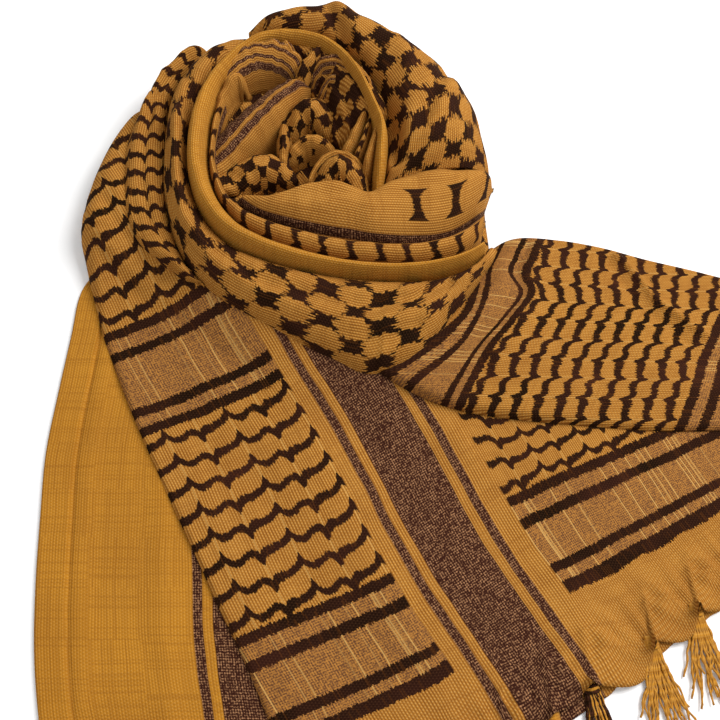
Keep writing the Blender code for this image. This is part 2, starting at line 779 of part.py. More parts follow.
def draw_strand(mesh_data, root, outward, way, owner, length, lean):
    # One four-sided strand out of its root face, thinner to its end and fanned from its tassel.
    tassel, aside = owner
    own_length = length * (0.86 + 0.14 * math.sin(2.3 * tassel + 1.9 * aside))
    middle = sum((vertex.co for vertex in root), Vector()) / 4
    ring = root
    for stage in range(1, STRAND_STAGES + 1):
        share = stage / STRAND_STAGES
        half_wide = blend(0.62, 0.4, share)
        half_high = blend(0.65, 0.42, share)
        spread = aside * (0.5 + 3.0 * share) * share
        sway = 2.0 * math.sin(3.1 * share + 1.1 * tassel) * share + lean * own_length * share
        spot = middle + outward * own_length * share + way * (spread + sway)
        spot.z = blend(1.2, 0.95, share)
        new_ring = []
        for side, level in ((-1, -1), (1, -1), (1, 1), (-1, 1)):
            new_ring.append(mesh_data.verts.new(
                spot + way * side * half_wide + Vector((0, 0, level * half_high))))
        for index in range(4):
            after = (index + 1) % 4
            mesh_data.faces.new((ring[index], ring[after], new_ring[after], new_ring[index]))
        ring = new_ring
    mesh_data.faces.new(ring)


def known_roll_outer(number):
    return edge_of(ROLL, number, 1, 2 * SEAM)


def known_roll_inner(number):
    return edge_of(ROLL, number, -1, 2 * SEAM)


def main():
    for item in list(bpy.data.objects):
        bpy.data.objects.remove(item, do_unlink=True)
    left_panel()
    main_flap()
    right_panel()
    on_flaps = ("left_panel", "main_flap", "right_panel")
    ribbon("rolled_selvedge", ROLL, OCHRE, 44, 3, under=on_flaps)
    band("front_band", FRONT_BAND, known_roll_outer, OCHRE_DARK, 44, 4, 0.65, on_flaps)
    band("left_fold", LEFT_FOLD, lambda number: beside(FRONT_BAND, number, 1), OCHRE_DARK,
         26, 3, 0.8, ("main_flap",))
    band("dash_band", DASH_BAND, known_roll_inner, OCHRE_DARK, 28, 3, 0.8, on_flaps,
         known_outer=True)
    band("plain_band", PLAIN_BAND, lambda number: beside(DASH_BAND, number, -1), OCHRE,
         24, 3, 0.7, on_flaps, known_outer=True)
    band("crown", CROWN, known_roll_outer, OCHRE_DARK, 24, 4, 0.85, on_flaps)
    for name, (colour, rows) in HOLLOW_FOLDS.items():
        ribbon(name, rows, colour, 9, 3, closing=0.3)
    hidden_layers()
    for name, (colour, from_x, from_y, to_x, to_y, *sizes) in FRINGES.items():
        start, end = Vector((from_x, from_y, 0.0)), Vector((to_x, to_y, 0.0))
        fringe(name, colour, start, end, *sizes)


main()
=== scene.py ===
# A cotton head scarf swirled into a rosette, with its corners laid out flat.
# Sizes are in millimetres on the plan that the solids use, until a mesh is made.

import math

import bpy
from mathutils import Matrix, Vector, noise
from mathutils.bvhtree import BVHTree


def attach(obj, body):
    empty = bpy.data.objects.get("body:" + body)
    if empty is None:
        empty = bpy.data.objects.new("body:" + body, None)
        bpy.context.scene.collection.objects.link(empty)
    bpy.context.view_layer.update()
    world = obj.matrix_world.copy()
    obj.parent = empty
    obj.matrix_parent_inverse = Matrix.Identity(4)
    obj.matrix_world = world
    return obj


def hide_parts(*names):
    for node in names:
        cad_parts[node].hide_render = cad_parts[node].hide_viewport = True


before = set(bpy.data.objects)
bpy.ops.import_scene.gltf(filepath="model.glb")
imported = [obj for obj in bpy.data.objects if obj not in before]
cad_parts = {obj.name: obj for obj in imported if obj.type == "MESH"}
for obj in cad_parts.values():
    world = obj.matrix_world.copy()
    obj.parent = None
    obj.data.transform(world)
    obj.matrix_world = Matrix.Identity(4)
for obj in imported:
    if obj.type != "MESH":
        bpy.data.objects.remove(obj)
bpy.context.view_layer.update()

plan = {"centreX": 112.625, "centreY": -54.0, "seam": 0.35, "cloth": 2.2, "air": 0.35}


def toFrame(x, y, z):
    return ((x - plan["centreX"]) * 0.001, (y - plan["centreY"]) * 0.001, z * 0.001)


# the camera, at the photo's angle to the floor

camera = {"distance": 791.0, "elevation": 65.0, "view": 40.0}


def placeCamera():
    steep = math.radians(camera["elevation"])
    data = bpy.data.cameras.new("camera")
    data.sensor_width = 36.0
    data.lens = 18.0 / math.tan(math.radians(camera["view"] / 2))
    data.clip_start = 0.01
    item = bpy.data.objects.new("camera", data)
    bpy.context.scene.collection.objects.link(item)
    item.location = toFrame(
        0.0, -camera["distance"] * math.cos(steep), camera["distance"] * math.sin(steep))
    item.rotation_euler = (math.radians(90.0 - camera["elevation"]), 0.0, 0.0)
    bpy.context.scene.camera = item


placeCamera()
print("camera placed")


# lines and heights that every piece shares

def blend(a, b, share):
    return a + (b - a) * share


def smoothStep(share):
    share = min(max(share, 0.0), 1.0)
    return share * share * (3.0 - 2.0 * share)


def along(rows, place):
    last = len(rows) - 1
    place = min(max(place, 0.0), float(last))
    row = min(int(place), last - 1)
    share = place - row
    before, after = max(row - 1, 0), min(row + 2, last)
    values = []
    for column in range(len(rows[0])):
        start, end = rows[row][column], rows[row + 1][column]
        leanIn = (end - rows[before][column]) / (row + 1 - before)
        leanOut = (rows[after][column] - start) / (after - row)
        values.append(
            start * (2 * share ** 3 - 3 * share ** 2 + 1)
            + leanIn * (share ** 3 - 2 * share ** 2 + share)
            + end * (3 * share ** 2 - 2 * share ** 3)
            + leanOut * (share ** 3 - share ** 2))
    return values


def evenPlaces(rows, count, columns=2):
    fine = 20 * (len(rows) - 1)
    places = [index * (len(rows) - 1) / fine for index in range(fine + 1)]
    points = [along(rows, place)[:columns] for place in places]
    lengths = [0.0]
    for a, b in zip(points, points[1:]):
        lengths.append(lengths[-1] + math.dist(a, b))
    even = []
    step = 0
    for index in range(count + 1):
        wanted = lengths[-1] * index / count
        while step < fine - 1 and lengths[step + 1] < wanted:
            step += 1
        span = lengths[step + 1] - lengths[step]
        even.append(blend(places[step], places[step + 1], (wanted - lengths[step]) / span))
    return even


# the hidden layers: angle, ridge radius, ridge height, reach
mound = {
    "middle": (-50.0, 165.0), "floor": 29.0, "share": 0.45, "rows": (
        (0, 90, 60, 143), (30, 100, 64, 154), (60, 116, 62, 144), (90, 110, 58, 140),
        (120, 95, 50, 150), (150, 88, 48, 152), (180, 84, 47, 162), (210, 80, 46, 165),
        (240, 70, 45, 182), (270, 62, 46, 205), (300, 66, 46, 215), (330, 78, 46, 185))}


def moundAt(angle):
    rows = mound["rows"]
    sector = (math.degrees(angle) % 360.0) / 30.0
    row = int(sector) % 12
    share = smoothStep(sector - int(sector))
    here, there = rows[row], rows[(row + 1) % 12]
    return [blend(here[column], there[column], share) for column in (1, 2, 3)]


def moundTop(x, y):
    dx, dy = x - mound["middle"][0], y - mound["middle"][1]
    radius = math.hypot(dx, dy)
    ridge, height, reach = moundAt(math.atan2(dy, dx))
    if radius < ridge:
        floorRadius = mound["share"] * ridge
        rise = smoothStep((radius - floorRadius) / (ridge - floorRadius))
        return blend(mound["floor"], height, rise)
    return height * (1.0 - ((radius - ridge) / (reach - ridge)) ** 2)


def treeOf(name):
    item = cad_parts[name]
    points = [
        Vector((v.co.x * 1000 + plan["centreX"], v.co.y * 1000 + plan["centreY"], v.co.z * 1000))
        for v in item.data.vertices]
    return BVHTree.FromPolygons(points, [tuple(face.vertices) for face in item.data.polygons])


trees = {name: treeOf(name) for name in ("left_panel", "main_flap", "right_panel")}


def restOn(x, y, names):
    height = max(0.0, moundTop(x, y))
    for name in names:
        hit = trees[name].ray_cast(Vector((x, y, 500.0)), Vector((0, 0, -1)))[0]
        if hit is not None:
            height = max(height, hit.z)
    return height


# creases: soft ridges and troughs along lines on the plan

def lineDistance(x, y, path):
    best = 1e9
    for (ax, ay), (bx, by) in zip(path, path[1:]):
        run, rise = bx - ax, by - ay
        share = ((x - ax) * run + (y - ay) * rise) / max(run * run + rise * rise, 1e-6)
        share = min(max(share, 0.0), 1.0)
        best = min(best, math.hypot(x - ax - run * share, y - ay - rise * share))
    return best


def creaseLift(x, y, creases):
    lift = 0.0
    for high, wide, path in creases:
        away = lineDistance(x, y, path) / wide
        if away < 2.6:
            lift += high * math.exp(-away * away)
    return lift


def unevenness(x, y, seed, high, wide):
    soft = noise.noise(Vector((x / wide, y / wide, seed)))
    small = noise.noise(Vector((x / wide * 2.3, y / wide * 2.3, seed + 7.1)))
    return high * (soft + 0.45 * small)


# meshes

def measuredLengths(grid):
    # how far each point is along its row of the grid, and each row along the piece
    across = []
    for row in grid:
        line = [0.0]
        for a, b in zip(row, row[1:]):
            line.append(line[-1] + math.dist(a, b))
        across.append(line)
    middle = len(grid[0]) // 2
    down = [0.0]
    for a, b in zip(grid, grid[1:]):
        down.append(down[-1] + math.dist(a[middle], b[middle]))
    return down, across


def lengthLayout(grid, settings):
    # the cloth's own coordinates from lengths, counted across from a share of the width
    down, across = measuredLengths(grid)
    anchor = settings.get("anchor", 0.5)
    slant = settings.get("slant", 0.0)
    layout = []
    for place, line in zip(down, across):
        row = []
        for value in line:
            a = place + settings.get("alongStart", 0.0)
            b = value - anchor * line[-1] + settings.get("acrossStart", 0.0) + slant * place
            row.append((b, a))
        layout.append(row)
    return layout


cuts = {}


def makeSheet(name, grid, layout, material, nodes, wall=1.0,
              cut=None):
    rows, columns = len(grid), len(grid[0])
    points = [toFrame(*point) for row in grid for point in row]
    faces = []
    for row in range(rows - 1):
        for column in range(columns - 1):
            first = row * columns + column
            faces.append((first, first + 1, first + columns + 1, first + columns))
    mesh = bpy.data.meshes.new(name + "_cloth")
    mesh.from_pydata(points, [], faces)
    mesh.update()
    lift = sum(face.normal.z * face.area for face in mesh.polygons)
    if lift < 0:
        mesh.flip_normals()
    clothArea = sum(face.area for face in mesh.polygons) * 1e6
    layer = mesh.uv_layers.new(name="cloth")
    flat = [place for row in layout for place in row]
    for loop in mesh.loops:
        u, v = flat[loop.vertex_index]
        layer.data[loop.index].uv = (u * 0.001, v * 0.001)
    mesh.shade_smooth()
    mesh.materials.append(material)
    item = bpy.data.objects.new(name + "_cloth", mesh)
    bpy.context.scene.collection.objects.link(item)
    wide = max(place[0] for place in flat) - min(place[0] for place in flat)
    long = max(place[1] for place in flat) - min(place[1] for place in flat)
    wide, long = cut or (wide, long)
    thicken =item.modifiers.new("wall", "SOLIDIFY")
    thicken.thickness = wall * 0.001
    thicken.offset = -1.0
    bpy.context.view_layer.objects.active = item
    item.select_set(True)
    bpy.ops.object.modifier_apply(modifier="wall")
    item.select_set(False)
    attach(item, "root")
    for node in nodes:
        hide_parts(node)
    area = min(max(clothArea, 0.301 * wide * long), wide * long)
    cuts[name] = (round(wide), round(long), round(area))
    print("sheet", name, rows, columns, cuts[name])
    return item


# bands of the swirl, each between two lines on the plan

def archProfile(width, rim, height, start, end, steps, fullness):
    points = []
    for index in range(steps + 1):
        turn = index / steps
        curve = 0.5 * math.pi * turn
        points.append((rim * blend(turn, 1.0 - math.cos(curve), fullness),
                       blend(start, height, math.sin(curve))))
    for index in range(1, steps + 1):
        turn = index / steps
        curve = 0.5 * math.pi * turn
        points.append((blend(rim, width, blend(turn, math.sin(curve), fullness)),
                       blend(end, height, math.cos(curve))))
    return points


def edgeOf(rows, place, side, clear):
    before, after = along(rows, place - 0.05), along(rows, place + 0.05)
    run, rise = after[0] - before[0], after[1] - before[1]
    length = math.hypot(run, rise)
    x, y, _, width = along(rows, place)[:4]
    away = side * (width / 2 + clear)
    return x + rise / length * away, y - run / length * away


def beside(rows, number, side):
    before, after = along(rows, number - 0.05), along(rows, number + 0.05)
    run, rise = after[1] - before[1], after[2] - before[2]
    length = math.hypot(run, rise)
    _, x, y = along(rows, number)[:3]
    away = side * 2 * plan["seam"]
    return x + rise / length * away, y - run / length * away


def archRow(outer, inner, rimShare, height, under, settings):
    width = math.dist(outer, inner)
    way = ((inner[0] - outer[0]) / width, (inner[1] - outer[1]) / width)
    start, end = restOn(*outer, under), restOn(*inner, under)
    height = max(height, start + 4.0, end + 4.0)
    line = archProfile(width, rimShare * width, height, start, end,
                       settings["steps"], settings["fullness"])
    outTuck, inTuck = settings.get("tuck", (2.0, 2.0))
    line = [(-0.6 * outTuck, start - outTuck)] + line + [(width + 0.6 * inTuck, end - inTuck)]
    row = []
    for distance, level in line:
        x, y = outer[0] + way[0] * distance, outer[1] + way[1] * distance
        free = min(max((level - max(start, end)) / 12.0, 0.0), 1.0)
        level += free * (creaseLift(x, y, settings.get("creases", ()))
                         + unevenness(x, y, settings["seed"], *settings.get("uneven", (1.2, 26.0))))
        row.append((x, y, max(level, 0.4)))
    return row


def bandSheet(name, settings, knownEdge, material):
    rows = settings["rows"]
    path = [(row[1], row[2], row[4]) for row in rows]
    grid = []
    for place in evenPlaces(path, settings["sections"], 3):
        number, x, y, rimShare, height = along(rows, place)
        known = knownEdge(number)
        outer, inner = (known, (x, y)) if settings.get("knownOuter") else ((x, y), known)
        grid.append(archRow(outer, inner, rimShare, height, settings["under"], settings))
    return makeSheet(name, grid, lengthLayout(grid, settings), material, [name])


def ribbonSheet(name, settings, material, node=None):
    rows = settings["rows"]
    last = len(rows) - 1
    closing = settings.get("closing", 0.0)
    grid = []
    for place in evenPlaces(rows, settings["sections"]):
        x, y, crest, width = along(rows, place)
        end = min(place, last - place) / last
        fall = 1.0 if end >= closing else math.sqrt(max(0.0, 1.0 - (1.0 - end / closing) ** 2))
        fall = max(fall, settings.get("endFall", 0.35))
        crest = blend(restOn(x, y, settings["under"]) + 3.0, crest, fall)
        narrow = -0.5 * width * (1.0 - fall) + settings.get("wider", 0.0)
        grid.append(archRow(
            edgeOf(rows, place, 1, narrow), edgeOf(rows, place, -1, narrow),
            settings.get("rim", 0.5), crest, settings["under"], settings))
    return makeSheet(name, grid, lengthLayout(grid, settings), material, [node or name])


# materials: threads, woven patterns and the cloth's own colours, with painted shade in the weave's grooves
# and a painted highlight on its raised picks

threadColours = {
    "ochre": (0.43, 0.185, 0.028, 1.0), "plainOchre": (0.45, 0.190, 0.016, 1.0),
    "ochreDeep": (0.175, 0.055, 0.008, 1.0), "ochrePale": (0.60, 0.36, 0.11, 1.0),
    "ochrePaintedShade": (0.31, 0.12, 0.012, 1.0), "black": (0.008, 0.0035, 0.0015, 1.0),
    "purple": (0.034, 0.010, 0.006, 1.0), "purplePale": (0.27, 0.12, 0.05, 1.0),
    "fleck": (0.36, 0.18, 0.085, 1.0)}


def newGroup(name, inputs, outputs):
    group = bpy.data.node_groups.new(name, "ShaderNodeTree")
    for label, kind, value in inputs:
        socket = group.interface.new_socket(label, in_out="INPUT", socket_type=kind)
        if value is not None:
            socket.default_value = value
    for label, kind in outputs:
        group.interface.new_socket(label, in_out="OUTPUT", socket_type=kind)
    start = group.nodes.new("NodeGroupInput")
    end = group.nodes.new("NodeGroupOutput")
    start.location, end.location = (-1200, 0), (1200, 0)
    return group, start, end


def feed(tree, socket, value):
    if isinstance(value, bpy.types.NodeSocket):
        tree.links.new(value, socket)
    else:
        socket.default_value = value


def calc(tree, operation, *values, clamp=False):
    node = tree.nodes.new("ShaderNodeMath")
    node.operation = operation
    node.use_clamp = clamp
    for index, value in enumerate(values):
        feed(tree, node.inputs[index], value)
    return node.outputs[0]


def mixColour(tree, share, a, b, kind="MIX"):
    node = tree.nodes.new("ShaderNodeMix")
    node.data_type = "RGBA"
    node.blend_type = kind
    feed(tree, node.inputs["Factor"], share)
    feed(tree, node.inputs["A"], a)
    feed(tree, node.inputs["B"], b)
    return node.outputs["Result"]


def softAbove(tree, value, edge, soft):
    # 0 below the edge and 1 above it, over a short slope
    return calc(tree, "ADD", calc(tree, "DIVIDE", calc(tree, "SUBTRACT", value, edge), soft),
                0.5, clamp=True)


def whiteNoise(tree, a, b=0.0):
    joined = tree.nodes.new("ShaderNodeCombineXYZ")
    feed(tree, joined.inputs[0], a)
    feed(tree, joined.inputs[1], b)
    node = tree.nodes.new("ShaderNodeTexWhiteNoise")
    node.noise_dimensions = "2D"
    tree.links.new(joined.outputs[0], node.inputs["Vector"])
    return node.outputs["Value"]


def softNoise(tree, vector, scale, detail=2.0):
    node = tree.nodes.new("ShaderNodeTexNoise")
    node.inputs["Scale"].default_value = scale
    node.inputs["Detail"].default_value = detail
    tree.links.new(vector, node.inputs["Vector"])
    return node.outputs["Fac"]


def curveOf(tree, value, points):
    node = tree.nodes.new("ShaderNodeFloatCurve")
    curve = node.mapping.curves[0]
    curve.points[0].location = points[0]
    curve.points[1].location = points[-1]
    for point in points[1:-1]:
        curve.points.new(*point)
    for point in curve.points:
        point.handle_type = "VECTOR"
    node.mapping.update()
    feed(tree, node.inputs["Value"], value)
    return node.outputs[0]


def makeThreads():
    # millimetres across and along the cloth, with each warp thread's own small slip
    group, start, end = newGroup(
        "threads",
        (("Cloth", "NodeSocketVector", None), ("Slip", "NodeSocketFloat", 2.6)),
        (("U", "NodeSocketFloat"), ("V", "NodeSocketFloat"), ("Slipped", "NodeSocketFloat"),
         ("Thread", "NodeSocketFloat"), ("Speckle", "NodeSocketFloat"),
         ("GrooveShade", "NodeSocketFloat"), ("BeadHighlight", "NodeSocketFloat"),
         ("Twill", "NodeSocketFloat"), ("Height", "NodeSocketFloat")))
    parts = group.nodes.new("ShaderNodeSeparateXYZ")
    group.links.new(start.outputs["Cloth"], parts.inputs[0])
    wander = calc(group, "SUBTRACT", softNoise(group, start.outputs["Cloth"], 22.0, 1.0), 0.5)
    drift = calc(group, "MULTIPLY", wander, 3.2)
    u = calc(group, "ADD", calc(group, "MULTIPLY", parts.outputs[0], 1000.0), drift)
    v = calc(group, "ADD", calc(group, "MULTIPLY", parts.outputs[1], 1000.0), drift)
    warp = calc(group, "FLOOR", calc(group, "DIVIDE", u, 0.95))
    weft = calc(group, "FLOOR", calc(group, "DIVIDE", v, 0.95))
    thread = whiteNoise(group, warp, calc(group, "FLOOR", calc(group, "DIVIDE", v, 10.8)))
    slip = calc(group, "MULTIPLY", calc(group, "SUBTRACT", thread, 0.5), start.outputs["Slip"])
    ribs = calc(group, "SINE", calc(group, "MULTIPLY", u, 2 * math.pi / 2.1))
    shift = calc(group, "MULTIPLY", calc(group, "FLOOR", calc(group, "DIVIDE", u, 2.1)), math.pi)
    picks = calc(group, "SINE", calc(
        group, "ADD", calc(group, "MULTIPLY", v, 2 * math.pi / 2.3), shift))
    strength = softNoise(group, start.outputs["Cloth"], 60.0, 2.0)
    # groove: the low ground between the ribs, a mask for painted shade in the weave's grooves
    groove = calc(group, "MULTIPLY", softAbove(group, ribs, 0.1, 1.3),
                  calc(group, "ADD", calc(group, "MULTIPLY", strength, 0.9), 0.3), clamp=True)
    # bead: the raised picks, a mask for a painted highlight on the tops of the threads
    beadHighlight = calc(group, "MULTIPLY", softAbove(group, picks, 0.2, 1.2),
                calc(group, "SUBTRACT", 1.0, groove))
    sides = [
        calc(group, "SINE", calc(
            group, "MULTIPLY", calc(group, kind, u, v), 2 * math.pi / 3.7))
        for kind in ("ADD", "SUBTRACT")]
    twill = calc(group, "MULTIPLY", calc(group, "MULTIPLY", *sides), strength)
    height = calc(group, "SUBTRACT", calc(group, "MULTIPLY", picks, 0.4),
                  calc(group, "MULTIPLY", ribs, 0.6))
    for label, value in (
            ("U", u), ("V", v), ("Slipped", calc(group, "ADD", v, slip)), ("Thread", thread),
            ("Speckle", whiteNoise(group, warp, weft)), ("GrooveShade", groove), ("BeadHighlight", beadHighlight),
            ("Twill", twill), ("Height", height)):
        group.links.new(value, end.inputs[label])
    return group


brick = {
    "period": 50.0, "row": 21.6, "reach": 12.0,
    "top": ((0.0, 11.8), (0.022, 7.6), (0.05, 3.8), (0.10, 1.0), (0.16, 0.2), (0.22, 0.4),
            (0.29, 1.9), (0.37, 3.3), (0.44, 2.6), (0.485, 0.4), (0.5, -1.4), (0.53, 0.8),
            (0.58, 2.6), (0.66, 2.4), (0.74, 2.0), (0.82, 2.3), (0.89, 3.4), (0.945, 5.6),
            (0.975, 8.4), (1.0, 11.8)),
    "low": ((0.0, 0.8), (0.04, -2.4), (0.09, -5.0), (0.15, -5.9), (0.22, -5.2), (0.30, -3.1),
            (0.36, -2.2), (0.41, -3.2), (0.45, -7.4), (0.475, -11.0), (0.5, -11.9), (0.52, -10.0),
            (0.55, -6.4), (0.64, -4.9), (0.74, -4.3), (0.81, -3.6), (0.88, -2.6), (0.95, -1.0),
            (1.0, 0.8))}


def makeBrick():
    # rows of long waves with a thin spike up and a thin spike down in each
    group, start, end = newGroup(
        "brick_wave", (("U", "NodeSocketFloat", 0.0), ("V", "NodeSocketFloat", 0.0),
                       ("Bold", "NodeSocketFloat", 0.0)),
        (("Mask", "NodeSocketFloat"), ("Line", "NodeSocketFloat")))
    share = calc(group, "FRACT", calc(group, "DIVIDE", start.outputs["U"], brick["period"]))
    row = calc(group, "FRACT", calc(group, "DIVIDE", start.outputs["V"], brick["row"]))
    height = calc(group, "MULTIPLY", calc(group, "SUBTRACT", row, 0.5), brick["row"])
    reach = brick["reach"]
    edges = []
    for label in ("top", "low"):
        points = [(at, (value + reach) / (2 * reach)) for at, value in brick[label]]
        raised = curveOf(group, share, points)
        edges.append(calc(group, "SUBTRACT", calc(group, "MULTIPLY", raised, 2 * reach), reach))
    bold = start.outputs["Bold"]
    under = softAbove(group, calc(group, "ADD", calc(group, "SUBTRACT", edges[0], height), bold),
                      0.0, 0.9)
    over = softAbove(group, calc(group, "ADD", calc(group, "SUBTRACT", height, edges[1]), bold),
                     0.0, 0.9)
    group.links.new(calc(group, "MULTIPLY", under, over), end.inputs["Mask"])
    beats = calc(group, "FRACT", calc(group, "MULTIPLY", share, 2.0))
    line = softAbove(group, beats, 0.965, 0.02)
    group.links.new(line, end.inputs["Line"])
    return group


def makeNet():
    # dark stars set corner to corner, with ochre ovals between them
    group, start, end = newGroup(
        "fishnet",
        (("U", "NodeSocketFloat", 0.0), ("V", "NodeSocketFloat", 0.0),
         ("Wide", "NodeSocketFloat", 14.0), ("High", "NodeSocketFloat", 15.0),
         ("Size", "NodeSocketFloat", 1.0), ("Power", "NodeSocketFloat", 0.8)),
        (("Mask", "NodeSocketFloat"),))
    across, along_ = (
        calc(group, "DIVIDE", start.outputs[label], calc(group, "MULTIPLY", start.outputs[size], 2.0))
        for label, size in (("U", "Wide"), ("V", "High")))
    arms = []
    for kind in ("ADD", "SUBTRACT"):
        turn = calc(group, "FRACT", calc(group, kind, across, along_))
        away = calc(group, "ABSOLUTE", calc(group, "SUBTRACT", calc(group, "MULTIPLY", turn, 2.0), 1.0))
        arms.append(calc(group, "POWER", away, start.outputs["Power"]))
    reach = calc(group, "ADD", *arms)
    group.links.new(softAbove(group, calc(group, "SUBTRACT", start.outputs["Size"], reach), 0.0, 0.10),
                    end.inputs["Mask"])
    return group


def makeDash():
    # short dark bars with wider feet across a band
    group, start, end = newGroup(
        "dashes",
        (("Along", "NodeSocketFloat", 0.0), ("Across", "NodeSocketFloat", 0.0),
         ("Pitch", "NodeSocketFloat", 24.0), ("Reach", "NodeSocketFloat", 9.0),
         ("Bend", "NodeSocketFloat", 1.8), ("Foot", "NodeSocketFloat", 3.2),
         ("Waist", "NodeSocketFloat", 2.5)),
        (("Mask", "NodeSocketFloat"),))
    across = start.outputs["Across"]
    bend = calc(group, "MULTIPLY", calc(group, "SINE", calc(group, "MULTIPLY", across, 0.33)),
                start.outputs["Bend"])
    place = calc(group, "FRACT", calc(
        group, "DIVIDE", calc(group, "ADD", start.outputs["Along"], bend), start.outputs["Pitch"]))
    away = calc(group, "MULTIPLY", calc(group, "ABSOLUTE", calc(group, "SUBTRACT", place, 0.5)),
                start.outputs["Pitch"])
    out = calc(group, "ABSOLUTE", across)
    share = calc(group, "DIVIDE", out, start.outputs["Reach"])
    foot = calc(group, "MULTIPLY", calc(group, "POWER", share, 3.0), start.outputs["Foot"])
    wide = calc(group, "ADD", foot, start.outputs["Waist"])
    bar = softAbove(group, calc(group, "SUBTRACT", wide, away), 0.0, 1.2)
    inside = softAbove(group, calc(group, "SUBTRACT", start.outputs["Reach"], out), 0.0, 1.2)
    group.links.new(calc(group, "MULTIPLY", bar, inside), end.inputs["Mask"])
    return group


# the cloth's own layout: stripes along the warp, and zones up from the fringed edge
zones = {
    "up": ((-200, 0), (57, 1), (66, 2), (75, 1), (83, 2), (117, 1), (125, 2), (134, 1), (142, 3),
           (313, 1), (321, 2), (330, 1), (338, 2), (382, 1), (390, 2), (401, 1), (409, 3)),
    "span": 700.0, "panelLeft": -48.0, "panelRight": 54.0}


def rampOf(tree, value, low, span, stops):
    share = calc(tree, "DIVIDE", calc(tree, "SUBTRACT", value, low), span)
    node = tree.nodes.new("ShaderNodeValToRGB")
    ramp = node.color_ramp
    ramp.interpolation = "CONSTANT"
    colours = {0: (0, 0, 0, 1), 1: (1, 0, 0, 1), 2: (0, 1, 0, 1), 3: (0, 0, 1, 1)}
    ramp.elements[0].position = max(0.0, (stops[0][0] - low) / span)
    ramp.elements[0].color = colours[stops[0][1]]
    ramp.elements.remove(ramp.elements[1])
    for place, kind in stops[1:]:
        element = ramp.elements.new((place - low) / span)
        element.color = colours[kind]
    tree.links.new(share, node.inputs["Fac"])
    parts = tree.nodes.new("ShaderNodeSeparateColor")
    tree.links.new(node.outputs["Color"], parts.inputs[0])
    return parts.outputs


def makeZones():
    group, start, end = newGroup(
        "zones",
        (("U", "NodeSocketFloat", 0.0), ("V", "NodeSocketFloat", 0.0),
         ("Panels", "NodeSocketFloat", 1.0)),
        (("Stripe", "NodeSocketFloat"), ("Brown", "NodeSocketFloat"),
         ("Rows", "NodeSocketFloat"), ("Band", "NodeSocketFloat")))
    u = start.outputs["U"]
    left = softAbove(group, calc(group, "SUBTRACT", zones["panelLeft"], u), 0.0, 0.8)
    right = softAbove(group, calc(group, "SUBTRACT", u, zones["panelRight"]), 0.0, 0.8)
    panel = calc(group, "MULTIPLY", calc(group, "ADD", left, right, clamp=True),
                 start.outputs["Panels"])
    up = rampOf(group, start.outputs["V"], -200.0, zones["span"], zones["up"])
    for label, part in (("Stripe", up[0]), ("Brown", up[1]), ("Rows", up[2])):
        group.links.new(calc(group, "MULTIPLY", part, panel), end.inputs[label])
    out = calc(group, "ABSOLUTE", u)
    wide = softAbove(group, calc(group, "SUBTRACT", 22.5, out), 0.0, 0.8)
    thin = calc(group, "MULTIPLY", softAbove(group, out, 29.5, 0.8),
                softAbove(group, calc(group, "SUBTRACT", 36.5, out), 0.0, 0.8))
    group.links.new(calc(group, "ADD", wide, thin, clamp=True), end.inputs["Band"])
    return group


groups = {"threads": makeThreads(), "brick": makeBrick(), "net": makeNet(), "dash": makeDash(),
          "zones": makeZones()}


def useGroup(tree, name, **values):
    node = tree.nodes.new("ShaderNodeGroup")
    node.node_tree = groups[name]
    for label, value in values.items():
        feed(tree, node.inputs[label], value)
    return node


